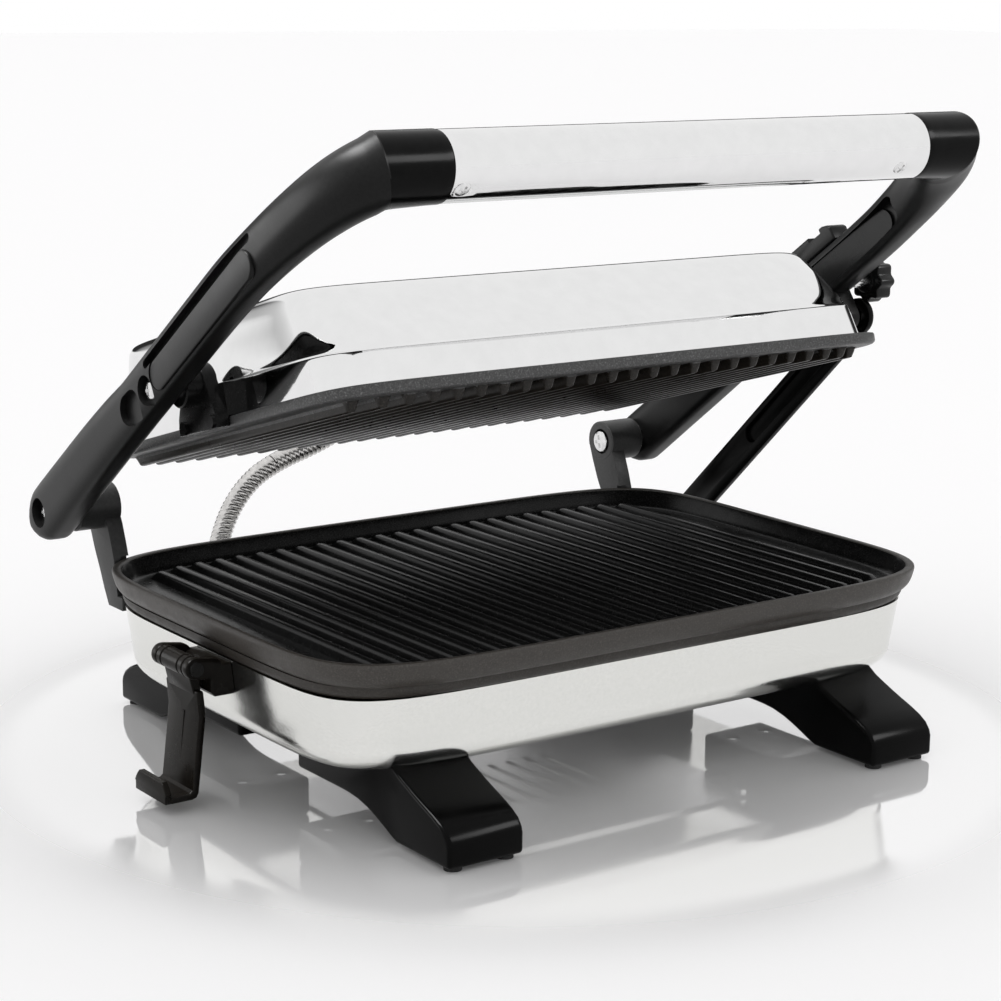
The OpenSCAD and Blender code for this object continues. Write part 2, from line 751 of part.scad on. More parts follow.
base_housing();
bottom_cover();
bottom_cover_screws();
lower_grill_plate();
lower_plate_bezel();
lower_heating_element();
lower_heat_shield();
thermostat();
front_foot_left();
front_foot_right();
rear_foot_left();
rear_foot_right();
foot_pads();
foot_screws();
hinge_post_left();
hinge_post_right();
latch_bracket();
latch_pin();
stay_bracket();
stay_pivot_pin();
cord_inlet();
lower_conduit_gland();
lower_conduit();
arm_left();
arm_right();
arm_cover_left();
arm_cover_right();
arm_trim_left();
handle_tube();
handle_screws();
hinge_bolts();
hinge_washers();
lid_pivot_bolts();
stay_stud();
knob_stud();
arm_stop_block();
lid_shell();
upper_grill_plate();
upper_heating_element();
upper_heat_shield();
lid_bracket_left();
lid_bracket_right();
lid_bracket_screws();
upper_conduit_gland();
upper_conduit();
lock_knob();
lid_stay();
latch_strap();
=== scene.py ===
import json
import math

import bmesh
import bpy
from mathutils import Matrix, Vector

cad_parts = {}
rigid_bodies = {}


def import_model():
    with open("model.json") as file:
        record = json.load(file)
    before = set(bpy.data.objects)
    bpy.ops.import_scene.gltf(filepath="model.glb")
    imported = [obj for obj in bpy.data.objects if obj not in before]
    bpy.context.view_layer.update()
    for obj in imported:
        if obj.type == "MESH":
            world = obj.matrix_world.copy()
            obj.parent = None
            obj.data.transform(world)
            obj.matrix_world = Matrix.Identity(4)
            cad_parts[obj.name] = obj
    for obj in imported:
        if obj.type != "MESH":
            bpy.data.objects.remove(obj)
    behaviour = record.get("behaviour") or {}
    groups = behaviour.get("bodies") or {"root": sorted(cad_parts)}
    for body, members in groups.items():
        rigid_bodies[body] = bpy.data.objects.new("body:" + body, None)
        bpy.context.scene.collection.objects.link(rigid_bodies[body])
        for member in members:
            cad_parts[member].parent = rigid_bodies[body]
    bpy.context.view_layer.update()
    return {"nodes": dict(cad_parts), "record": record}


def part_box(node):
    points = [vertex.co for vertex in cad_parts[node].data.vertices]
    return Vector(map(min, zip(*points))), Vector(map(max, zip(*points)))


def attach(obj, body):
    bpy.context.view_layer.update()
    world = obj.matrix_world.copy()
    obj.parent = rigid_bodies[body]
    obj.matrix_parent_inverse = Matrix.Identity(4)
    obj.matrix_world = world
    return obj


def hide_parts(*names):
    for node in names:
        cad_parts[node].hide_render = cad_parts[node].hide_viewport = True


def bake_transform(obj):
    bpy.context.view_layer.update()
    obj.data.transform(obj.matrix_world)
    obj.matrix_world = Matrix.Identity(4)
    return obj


MM = 0.001
SIDE = {-1: "left", 1: "right"}
MERGE = 0.00001

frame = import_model()


# ---- sizes in millimetres, read from the frame where the frame has them


def box_mm(node):
    low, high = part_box(node)
    return [v / MM for v in low], [v / MM for v in high]


def joint_point(name):
    """Place of a joint's axis, in millimetres."""
    for joint in frame["record"]["behaviour"]["joints"]:
        if joint["name"] == name:
            return [v / MM for v in joint["pos_m"]]
    raise KeyError(name)


RIM_LOW, RIM_HIGH = box_mm("lower_grill_plate")
RIM_W = RIM_HIGH[0]
RIM_D = (RIM_HIGH[1] - RIM_LOW[1]) / 2
RIM_Y = (RIM_HIGH[1] + RIM_LOW[1]) / 2
RIM_TOP = RIM_HIGH[2]
RIM_STEP = RIM_LOW[2]
RIM_EXP = 6.5
PLATE_FLOOR = RIM_STEP + 1.8
RIB_PITCH = 10.8
RIB_COUNT = 25
RIB_HEIGHT = 4.4
BEZEL_LOW, BEZEL_HIGH = box_mm("lower_plate_bezel")
BEZEL_HOLE = (147, 98.4)
BODY_BOTTOM = box_mm("base_housing")[0][2]
BODY_A, BODY_B = 152.3, 102.2
BODY_EXP = 7.2
BODY_FILLET = 10.0
BODY_WALL = 1.6
BODY_LEAN, BODY_LEAN_RISE = 2.5, 21.0
FIT_GAP = 0.3
RING_COUNT = 320

HINGE = joint_point("handle_hinge")
PIVOT = joint_point("lid_tilt")
STAY_FOOT = joint_point("stay_pivot")
KNOB = joint_point("knob_turn")
LATCH = joint_point("latch_swing")

# arms and tube: s runs from the hinge to the handle, p across the arm towards its upper side
ARM_RISE = math.radians(35.7)
REACH = 281.9
ARM_IN = 159.0
ARM_OUT = 173.0
ARM_PIVOT = (123.3, -3.8)
ARM_PANEL = ((136, -3.2), (221.5, -3.2))
BOLT_HEAD_X = ARM_OUT - 3.4
CUT_OUT = ARM_OUT + 4
STUD = (163.8, -20.4)
STAY_X, STAY_T = 175.2, 3
TUBE_R = 13.6
CAP_IN = 119.0
CAP_FROM, CAP_OUT, CAP_LEAN = 255, 143.0, 5.2
TUBE_SCREW_X = (-114.0, 105.0)
TUBE_SCREW_TURN = math.radians(126)

# lid
LID_TILT = math.radians(16.1)
PIVOT_ALONG = 104.2
PIVOT_RISE = 19.6
LID_W = 144.0
LID_FRONT = 3.0
LID_REAR = 220.0


# ---- places of the moving groups


def arm_point(x, s, p):
    """Point beside an arm: s runs from the hinge to the handle, p to the arm's upper side."""
    c, t = math.cos(ARM_RISE), math.sin(ARM_RISE)
    return (x, HINGE[1] - s * c + p * t, HINGE[2] + s * t + p * c)


def lid_point(x, along, up):
    """Point of the lid: along runs back from the plate's front edge, up from its lower face."""
    c, t = math.cos(LID_TILT), math.sin(LID_TILT)
    da, du = along - PIVOT_ALONG, up - PIVOT_RISE
    return (x, PIVOT[1] + da * c + du * t, PIVOT[2] - da * t + du * c)


def same_point(x, y, z):
    return (x, y, z)


# ---- mesh tools


def add_object(name, data):
    """New object in the scene, for a mesh, a lamp or a camera."""
    obj = bpy.data.objects.new(name, data)
    bpy.context.scene.collection.objects.link(obj)
    return obj


def to_object(name, verts, faces, place=same_point):
    """New object from points in millimetres, with its faces turned outwards."""
    mesh = bpy.data.meshes.new(name)
    mesh.from_pydata([Vector(place(*v)) * MM for v in verts], [], faces)
    work = bmesh.new()
    work.from_mesh(mesh)
    bmesh.ops.remove_doubles(work, verts=work.verts, dist=MERGE)
    bmesh.ops.recalc_face_normals(work, faces=work.faces)
    work.to_mesh(mesh)
    work.free()
    return add_object(name, mesh)


def freeze(obj):
    """Turns an object's modifiers into its mesh."""
    bpy.context.view_layer.update()
    ready = obj.evaluated_get(bpy.context.evaluated_depsgraph_get())
    mesh = bpy.data.meshes.new_from_object(ready)
    obj.modifiers.clear()
    old = obj.data
    obj.data = mesh
    bpy.data.meshes.remove(old)
    mesh.name = obj.name


def boolean(obj, tools, operation="DIFFERENCE"):
    """Cuts or joins obj with each tool, and deletes the tools."""
    for tool in tools:
        mod = obj.modifiers.new("cut", "BOOLEAN")
        mod.object = tool
        mod.operation = operation
        mod.solver = "EXACT"
        freeze(obj)
        mesh = tool.data
        bpy.data.objects.remove(tool)
        bpy.data.meshes.remove(mesh)
    return obj


def soften(obj, width, segments=3, angle=40):
    """Rounds the edges that are sharper than angle."""
    mod = obj.modifiers.new("round", "BEVEL")
    mod.width = width * MM
    mod.segments = segments
    mod.limit_method = "ANGLE"
    mod.angle_limit = math.radians(angle)
    mod.use_clamp_overlap = True
    freeze(obj)
    return obj


def dress(obj, body, materials, nodes=(), crease=35):
    """Smooth shading, materials, the body that obj belongs to, and hides the CAD nodes that obj stands in
    for.
    """
    obj.data.materials.clear()
    for material in materials:
        obj.data.materials.append(material)
    obj.data.shade_smooth()
    obj.data.set_sharp_from_angle(angle=math.radians(crease))
    if body:
        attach(obj, body)
    if nodes:
        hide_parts(*nodes)
    return obj


def loft_mesh(rings, closed=False):
    """Points and faces of a solid through rings; closed joins the last ring to the first."""
    count = len(rings[0])
    verts = [v for ring in rings for v in ring]
    faces = []
    for k in range(len(rings) if closed else len(rings) - 1):
        low, high = k * count, ((k + 1) % len(rings)) * count
        for i in range(count):
            j = (i + 1) % count
            faces.append((low + i, low + j, high + j, high + i))
    if not closed:
        faces += [tuple(range(count)), tuple(range(len(verts) - count, len(verts)))]
    return verts, faces


def loft(name, rings, place=same_point, closed=False):
    return to_object(name, *loft_mesh(rings, closed), place)


def prism(name, outline, x0, x1, place=same_point):
    """Solid with an outline in the plane across X, from x0 to x1."""
    rings = [[(x, u, v) for u, v in outline] for x in (x0, x1)]
    return loft(name, rings, place)


def arc(cu, cv, r, start, end, steps):
    """Points of an arc about (cu, cv), with angles in degrees."""
    points = []
    for k in range(steps + 1):
        a = math.radians(start + (end - start) * k / steps)
        points.append((cu + r * math.cos(a), cv + r * math.sin(a)))
    return points


def stadium(p, q, r, steps=14):
    """Outline of a bar with round ends from p to q."""
    turn = math.degrees(math.atan2(q[1] - p[1], q[0] - p[0]))
    return arc(q[0], q[1], r, turn - 90, turn + 90, steps) + arc(p[0], p[1], r, turn + 90, turn + 270, steps)


def circle(cu, cv, r, steps):
    return arc(cu, cv, r, 0, 360 - 360 / steps, steps - 1)


def swap_xy(x, y, z):
    return (y, x, z)


def power(c, exponent):
    """Cosine or sine of a superellipse: a higher exponent squares the corners."""
    return math.copysign(abs(c) ** (2 / exponent), c)


def bowed(z, a, b, n=RIM_EXP, count=RING_COUNT):
    """Closed outline with bowed sides and round corners."""
    ring = []
    for i in range(count):
        t = 2 * math.pi * i / count
        ring.append((a * power(math.cos(t), n), RIM_Y + b * power(math.sin(t), n), z))
    return ring


def bowed_y(x, a, b, n=RIM_EXP):
    """Half depth of a bowed outline at x."""
    return b * (1 - min(1, abs(x) / a) ** n) ** (1 / n)


def smooth_levels(levels, rounds=3):
    """Corner cutting on a list of levels: rounds off the profile and keeps its two ends."""
    for _ in range(rounds):
        cut = [levels[0]]
        for one, two in zip(levels, levels[1:]):
            cut.append([0.75 * u + 0.25 * v for u, v in zip(one, two)])
            cut.append([0.25 * u + 0.75 * v for u, v in zip(one, two)])
        cut.append(levels[-1])
        levels = cut
    return levels


def lathe(name, profile, place, sides=48):
    """Solid of revolution: profile holds (height, radius), from one end to the other."""
    rings = []
    for h, r in profile:
        rings.append([
            (h, r * math.cos(2 * math.pi * i / sides), r * math.sin(2 * math.pi * i / sides))
            for i in range(sides)
        ])
    return loft(name, rings, place)


def along(origin, direction):
    """Placing function: the first coordinate runs from origin along direction."""
    d = Vector(direction).normalized()
    side = d.cross(Vector((0.3, 0.2, 1.0))).normalized()
    up = d.cross(side)
    base = Vector(origin)

    def place(h, u, v):
        return tuple(base + d * h + side * u + up * v)

    return place


def about_x(y, z, side=1):
    """Placing function: the first coordinate runs along X, or against it where side is -1."""
    return lambda h, u, v: (side * h, y + u, z + v)


def about_y(x, z):
    """Placing function: the first coordinate runs along Y."""
    return lambda h, u, v: (x + u, h, z + v)


def spline(a, b, c, d, t):
    """Value or point between b and c on the smooth curve through all four."""
    second, third = 2 * a - 5 * b + 4 * c - d, 3 * b - a - 3 * c + d
    return 0.5 * (2 * b + (c - a) * t + second * t * t + third * t ** 3)


# ---- materials


NOISE_LOW, NOISE_HIGH = 0.3, 0.7
METAL_GRAIN, METAL_WAVE, PLASTIC_GRAIN, COATING_GRAIN = 0.0002, 0.004, 0.00005, 0.0001


def new_material(name):
    mat = bpy.data.materials.new(name)
    mat.use_nodes = True
    tree = mat.node_tree
    return mat, tree, tree.nodes["Principled BSDF"]


def add_noise(tree, scale, detail=3.0, stretch=None):
    """Noise in the object's own coordinates, scale in cells a metre."""
    coord = tree.nodes.new("ShaderNodeTexCoord")
    source = coord.outputs["Object"]
    if stretch:
        mapping = tree.nodes.new("ShaderNodeMapping")
        mapping.inputs["Scale"].default_value = stretch
        tree.links.new(source, mapping.inputs["Vector"])
        source = mapping.outputs["Vector"]
    noise = tree.nodes.new("ShaderNodeTexNoise")
    noise.inputs["Scale"].default_value = scale
    noise.inputs["Detail"].default_value = detail
    tree.links.new(source, noise.inputs["Vector"])
    return noise.outputs["Fac"]


def add_ramp(tree, source, stops):
    """Colour ramp with stops of (position, colour)."""
    ramp = tree.nodes.new("ShaderNodeValToRGB")
    elements = ramp.color_ramp.elements
    while len(elements) < len(stops):
        elements.new(0.5)
    for element, (place, colour) in zip(elements, stops):
        element.position = place
        element.color = (*colour, 1)
    tree.links.new(source, ramp.inputs["Fac"])
    return ramp.outputs["Color"]


def add_range(tree, source, low, high, source_low=NOISE_LOW, source_high=NOISE_HIGH):
    """Spreads source over the values from low to high."""
    ranged = tree.nodes.new("ShaderNodeMapRange")
    ranged.inputs["From Min"].default_value = source_low
    ranged.inputs["From Max"].default_value = source_high
    ranged.inputs["To Min"].default_value = low
    ranged.inputs["To Max"].default_value = high
    tree.links.new(source, ranged.inputs["Value"])
    return ranged.outputs["Result"]


def add_bump(tree, shader, source, strength, distance):
    """Bump on top of any that the shader already has; distance is in metres."""
    bump = tree.nodes.new("ShaderNodeBump")
    bump.inputs["Strength"].default_value = strength
    bump.inputs["Distance"].default_value = distance
    previous = shader.inputs["Normal"].links
    if previous:
        tree.links.new(previous[0].from_socket, bump.inputs["Normal"])
    tree.links.new(source, bump.inputs["Height"])
    tree.links.new(bump.outputs["Normal"], shader.inputs["Normal"])


def metal(name, low, high, rough, scale, bump=0.0, bump_scale=60, stretch=None, wave=0.0):
    """Metal whose tint and roughness vary a little; wave is a slow unevenness."""
    mat, tree, shader = new_material(name)
    fine = add_noise(tree, scale, 4, stretch)
    colour = add_ramp(tree, fine, [(NOISE_LOW, low), (NOISE_HIGH, high)])
    tree.links.new(colour, shader.inputs["Base Color"])
    tree.links.new(add_range(tree, fine, rough[0], rough[1]), shader.inputs["Roughness"])
    shader.inputs["Metallic"].default_value = 1.0
    if bump:
        add_bump(tree, shader, add_noise(tree, bump_scale, 3, stretch), bump, METAL_GRAIN)
    if wave:
        add_bump(tree, shader, add_noise(tree, 9, 1), wave, METAL_WAVE)
    return mat


def plastic(name, low, high, rough, scale, bump, gloss, bump_scale=1500, warm=0.0):
    """Moulded plastic with a fine grain, between two greys; gloss is the specular level."""
    mat, tree, shader = new_material(name)
    fine = add_noise(tree, scale, 5)
    colour = add_ramp(tree, fine, [(NOISE_LOW, grey(low, warm)), (NOISE_HIGH, grey(high, warm))])
    tree.links.new(colour, shader.inputs["Base Color"])
    tree.links.new(add_range(tree, add_noise(tree, 70, 3), rough[0], rough[1]), shader.inputs["Roughness"])
    shader.inputs["Specular IOR Level"].default_value = gloss
    add_bump(tree, shader, add_noise(tree, bump_scale, 2), bump, PLASTIC_GRAIN)
    return mat


def coating(name, dark, mid, fleck, rough, bump, gloss=0.35):
    """Nonstick coating on a casting: fine flecks over a grainy ground."""
    mat, tree, shader = new_material(name)
    grain = add_noise(tree, 1500, 3)
    colour = add_ramp(tree, grain, [(0.34, dark), (0.56, mid), (0.72, fleck)])
    tree.links.new(colour, shader.inputs["Base Color"])
    tree.links.new(add_range(tree, add_noise(tree, 220, 3), rough[0], rough[1]), shader.inputs["Roughness"])
    shader.inputs["Specular IOR Level"].default_value = gloss
    add_bump(tree, shader, grain, bump, COATING_GRAIN)
    return mat


def grey(v, warm=0.0):
    """Linear grey; warm shifts it from blue to red."""
    return (v * (1 + warm), v, v * (1 - warm))


SILVER = metal(
    "silver", (0.755, 0.757, 0.73), (0.79, 0.792, 0.765), (0.13, 0.19), 700, bump=0.10, bump_scale=900,
)
CHROME = metal("chrome", grey(0.77), grey(0.80), (0.03, 0.06), 160)
LID_CHROME = metal("lid_chrome", grey(0.77), grey(0.80), (0.03, 0.055), 120, wave=0.02)
SCREW_STEEL = metal("screw_steel", grey(0.66), grey(0.82), (0.10, 0.22), 500, bump=0.1)
SHEET_STEEL = metal("sheet_steel", grey(0.50), grey(0.62), (0.25, 0.40), 300, 0.2, 250, (1, 12, 1))
CONDUIT_STEEL = metal("conduit_steel", grey(0.52, 0.02), grey(0.72, 0.02), (0.18, 0.30), 400, bump=0.15)
TINTED_STEEL = metal("tinted_steel", (0.22, 0.17, 0.13), (0.34, 0.30, 0.28), (0.35, 0.5), 90, bump=0.2)
RIM_CAST = coating("rim_cast", grey(0.026, 0.12), grey(0.036, 0.12), grey(0.062, 0.1), (0.36, 0.46), 0.25)
BEZEL_CAST = coating(
    "bezel_cast", grey(0.015, 0.16), grey(0.023, 0.16), grey(0.044, 0.1), (0.40, 0.50), 0.25, 0.3,
)
COOK_CAST = coating("cook_cast", grey(0.004), grey(0.007), grey(0.02), (0.20, 0.28), 0.12, 0.22)
UPPER_CAST = coating("upper_cast", grey(0.034), grey(0.058), grey(0.14), (0.36, 0.48), 0.3)
UPPER_RIBS = coating(
    "upper_ribs", grey(0.005, 0.2), grey(0.010, 0.2), grey(0.03, 0.15), (0.26, 0.36), 0.15, 0.2,
)
ARM_SATIN = plastic("arm_satin", 0.0035, 0.006, (0.30, 0.38), 900, 0.16, 0.14)
CAP_GLOSS = plastic("cap_gloss", 0.001, 0.002, (0.16, 0.22), 300, 0.04, 0.07)
FOOT_GLOSS = plastic("foot_gloss", 0.0004, 0.0008, (0.16, 0.24), 300, 0.04, 0.06)
BLACK_PLASTIC = plastic("black_plastic", 0.002, 0.004, (0.22, 0.30), 600, 0.10, 0.12)
POST_SATIN = plastic("post_satin", 0.016, 0.024, (0.34, 0.42), 700, 0.12, 0.22)
LATCH_PLASTIC = plastic("latch_plastic", 0.0022, 0.0042, (0.24, 0.32), 500, 0.10, 0.07, warm=0.2)
KNOB_PLASTIC = plastic("knob_plastic", 0.004, 0.007, (0.22, 0.30), 500, 0.10, 0.18)
STAY_PLASTIC = plastic("stay_plastic", 0.001, 0.002, (0.28, 0.36), 600, 0.10, 0.08)
RUBBER = plastic("rubber", 0.010, 0.020, (0.6, 0.75), 400, 0.4, 0.25, 700)


# ---- base


def body_inset(z):
    """How far the housing's wall lies inside its size at the fillet's top."""
    rise = z - BODY_BOTTOM
    if rise >= BODY_FILLET:
        return -BODY_LEAN * (rise - BODY_FILLET) / BODY_LEAN_RISE
    return BODY_FILLET * (1 - math.sqrt(max(0.0, 1 - (1 - rise / BODY_FILLET) ** 2)))


def body_ring(z, inset, count=RING_COUNT):
    return bowed(z, BODY_A - inset, BODY_B - inset, BODY_EXP, count=count)


def body_cutter(gap):
    """Block of the housing's outer shape, a little larger by gap."""
    heights = [BODY_BOTTOM - 0.1 + BODY_FILLET * k / 8 for k in range(9)] + [BEZEL_LOW[2] + 0.4]
    return loft("cutter", [body_ring(z, body_inset(max(z, BODY_BOTTOM + 0.05)) - gap, 200) for z in heights])


def make_housing():
    """Tub with a rounded lower edge, open at the top under the bezel."""
    top = BEZEL_LOW[2]
    steps = 14
    fillet_top = BODY_BOTTOM + BODY_FILLET
    heights = [BODY_BOTTOM + BODY_FILLET * (1 - math.cos(math.pi / 2 * k / steps)) for k in range(steps + 1)]
    heights += [fillet_top + (top - BODY_BOTTOM - BODY_FILLET) * k / 6 for k in range(1, 7)]
    outer = [body_ring(z, body_inset(z)) for z in heights]
    floor = BODY_BOTTOM + BODY_WALL
    inner = [body_ring(max(z, floor), body_inset(z) + BODY_WALL) for z in reversed(heights[4:])]
    housing = loft("housing_skin", outer + inner)
    dress(housing, "base", [SILVER], ["base_housing"])


def rib_rings(x, y0, y1, section, ramp, height):
    """Rings of one cooking rib along Y; its ends slope down over ramp."""
    stations = [(0, 0.12), (0.35, 0.5), (1, 0.97), (1.4, 1)]
    cuts = [(y0 + t * ramp, k) for t, k in stations] + [(y1 - t * ramp, k) for t, k in reversed(stations)]
    return [[(x + u, y, v if v < 0 else v * k * height) for u, v in section] for y, k in cuts]


RIB_HALF = [(-3.0, -0.6), (-3.0, 0.0), (-2.6, 0.28), (-2.2, 0.6), (-1.9, 0.83), (-1.4, 0.96), (-0.7, 1.0)]
RIB_SECTION = RIB_HALF + [(-u, v) for u, v in reversed(RIB_HALF)]


def make_ribs(name, height, reach, middle, ramp, place):
    """All the ribs of one plate, as one object of separate bars."""
    verts, faces = [], []
    for i in range(RIB_COUNT):
        x = (i - (RIB_COUNT - 1) / 2) * RIB_PITCH
        half = reach(x)
        rings = rib_rings(x, middle - half, middle + half, RIB_SECTION, ramp, height)
        points, quads = loft_mesh(rings)
        faces += [tuple(len(verts) + k for k in face) for face in quads]
        verts += points
    return to_object(name, verts, faces, place)


def make_lower_plate():
    """Cast plate with a raised rim and ribs; the cooking face has its own material."""
    lip = 2.9
    outer = smooth_levels([
        (RIM_STEP, 3.8), (RIM_STEP + 0.9, 2.7), (RIM_STEP + 3.2, 1.2), (RIM_TOP - 2.4, 0.1),
        (RIM_TOP - 0.9, 0.0), (RIM_TOP - 0.1, 0.5), (RIM_TOP, 1.3),
    ], 2)
    inner = smooth_levels([
        (RIM_TOP, 1.7), (RIM_TOP - 0.1, 2.7), (RIM_TOP - 1.0, 3.5), (RIM_TOP - 5.0, 5.2),
        (PLATE_FLOOR + 1.0, 6.3), (PLATE_FLOOR + 0.1, 7.6), (PLATE_FLOOR, 9.5),
    ], 2)
    rings = [bowed(z, RIM_W - inset, RIM_D - inset) for z, inset in outer + inner]
    plate = loft("lower_plate_skin", rings)
    ribs = make_ribs(
        "lower_ribs", RIB_HEIGHT, lambda x: bowed_y(x, RIM_W - 10.5, RIM_D - 11), RIM_Y, 5.0,
        lambda x, y, z: (x, y, PLATE_FLOOR + z),
    )
    boolean(plate, [ribs], "UNION")
    dress(plate, "base", [RIM_CAST, COOK_CAST], ["lower_grill_plate"])
    low, high = (PLATE_FLOOR - 0.5) * MM, (RIM_TOP - 0.7) * MM
    for face in plate.data.polygons:
        c = face.center
        across, deep = c.x / MM / (RIM_W - lip), (c.y / MM - RIM_Y) / (RIM_D - lip)
        if abs(across) ** RIM_EXP + abs(deep) ** RIM_EXP < 1 and low < c.z < high:
            face.material_index = 1


def make_bezel():
    """Band between the housing and the lower plate's rim."""
    a, b = BEZEL_HIGH[0], (BEZEL_HIGH[1] - BEZEL_LOW[1]) / 2
    low, high = BEZEL_LOW[2], BEZEL_HIGH[2]
    outer = smooth_levels([(low, 4.2), (low + 0.3, 2.6), (low + 1.6, 1.0), (high - 2, 0.1), (high, 0.0)], 2)
    rings = [bowed(z, a - inset, b - inset) for z, inset in outer]
    rings += [bowed(high, *BEZEL_HOLE), bowed(low, *BEZEL_HOLE)]
    bezel = loft("bezel_skin", rings, closed=True)
    dress(bezel, "base", [BEZEL_CAST], ["lower_plate_bezel"])


FOOT_MIRROR = -3.0
FOOT_SCREW_X, FOOT_SCREW_Y, FOOT_WELL_R, FOOT_WELL_H = 10, 36, 3.2, 16

# Side view of a front foot: rounded top, upright toe, arched underside
FOOT_OUTLINE = [
    (-138, 1.8), (-138, 10.5), (-137.2, 13), (-134.8, 16), (-131, 18.4), (-126, 20.6), (-120, 22.8),
    (-114, 25.1), (-108, 27.6), (-103, 29.8), (-98, 33), (-80, 33), (-80, 29.4), (-27, 29.4), (-27, 12.2),
    (-58, 12.2), (-66, 12), (-73, 11.3), (-80, 9.7), (-86, 7.7), (-92, 5.3), (-97, 3.2), (-101, 1.8),
]


def make_foot(x_side, y_side):
    """One foot: moulded block with round side edges, cut to the housing."""
    name = ("front" if y_side < 0 else "rear") + "_foot_" + SIDE[x_side]
    low, high = box_mm(name)
    x0, x1 = low[0], high[0]

    def place(x, y, z):
        return (x, y if y_side < 0 else 2 * FOOT_MIRROR - y, z)

    foot = prism(name + "_body", FOOT_OUTLINE, x0, x1, place)
    soften(foot, 2.6, 5, 50)
    boolean(foot, [body_cutter(0.1)])
    screws = []
    for s in (-1, 1):
        seat = ((x0 + x1) / 2 + s * FOOT_SCREW_X, FOOT_MIRROR + y_side * FOOT_SCREW_Y, 0)
        well = [(0, FOOT_WELL_R), (FOOT_WELL_H, FOOT_WELL_R)]
        screws.append(lathe("well", well, along(seat, (0, 0, 1)), 32))
    boolean(foot, screws)
    dress(foot, "base", [FOOT_GLOSS], [name], crease=32)


def make_post(side):
    """Hinge post: flat lug that rises from the housing's rear corner to a barrel."""
    y, z = HINGE[1], HINGE[2]
    outline = [
        (y - 9.2, z - 4), (103.6, 92), (100.4, 84), (98, 77), (96.6, 70), (95.2, 60.9), (90.5, 60.9),
        (90.5, 55.2), (104, 55.2), (108, 62), (112, 70), (117, 79), (121, 88), (y + 9.6, z - 3),
    ]
    outline += arc(y, z, 10.2, -18, 202, 20)

    def place(x, u, v):
        return (side * x, u, v)

    post = prism("post", outline, 138.6, 146, place)
    soften(post, 1.2, 3, 50)
    on_hinge = about_x(y, z, side)
    barrel = lathe("barrel", [(138.5, 9.2), (139.2, 10.2), (157.2, 10.2), (157.9, 9.5)], on_hinge, 64)
    foot = prism("shelf", [(84, 55.2), (103, 55.2), (103, 60.7), (84, 60.7)], 118, 140, place)
    boolean(post, [barrel, foot], "UNION")
    boolean(post, [body_cutter(FIT_GAP)])
    around_bezel = [(60.9, 156.8, 108.2), (66.7, 156.8, 108.2)]
    around_rim = [(66.5, 158.7, 112.2), (70.2, 159.8, 113.3), (78, 159.9, 113.4)]
    for levels in (around_bezel, around_rim):
        boolean(post, [loft("cutter", [bowed(h, a, b, count=160) for h, a, b in levels])])
    bore = lathe("bore", [(137, 3.05), (160, 3.05)], on_hinge, 32)
    boolean(post, [bore, lathe("recess", [(137, 6.4), (141.5, 6.4)], on_hinge)])
    name = "hinge_post_" + SIDE[side]
    post.name = name + "_skin"
    dress(post, "base", [POST_SATIN], [name])


def make_latch_bracket():
    """Block on the housing's left wall with two lugs for the latch pin."""
    x, z = LATCH[0], LATCH[2]
    y0, y1 = LATCH[1] - 15, LATCH[1] + 15
    outline = [(-164, 49), (-162, 47), (-140, 47), (-140, 60.4), (-161, 60.4), (-164, 57)]
    block = prism("latch_bracket_skin", outline, y0, y1, swap_xy)
    soften(block, 1.0, 3, 50)
    for y in (y0, y1 - 4):
        lug = stadium((x, z), (x + 8, z - 1.2), 4.4)
        boolean(block, [soften(prism("lug", lug, y, y + 4, swap_xy), 0.6, 2, 50)], "UNION")
    pin_bore = lathe("bore", [(y0 - 2, 2.0), (y1 + 2, 2.0)], about_y(x, z), 32)
    boolean(block, [body_cutter(FIT_GAP), pin_bore])
    dress(block, "base", [LATCH_PLASTIC], ["latch_bracket"])


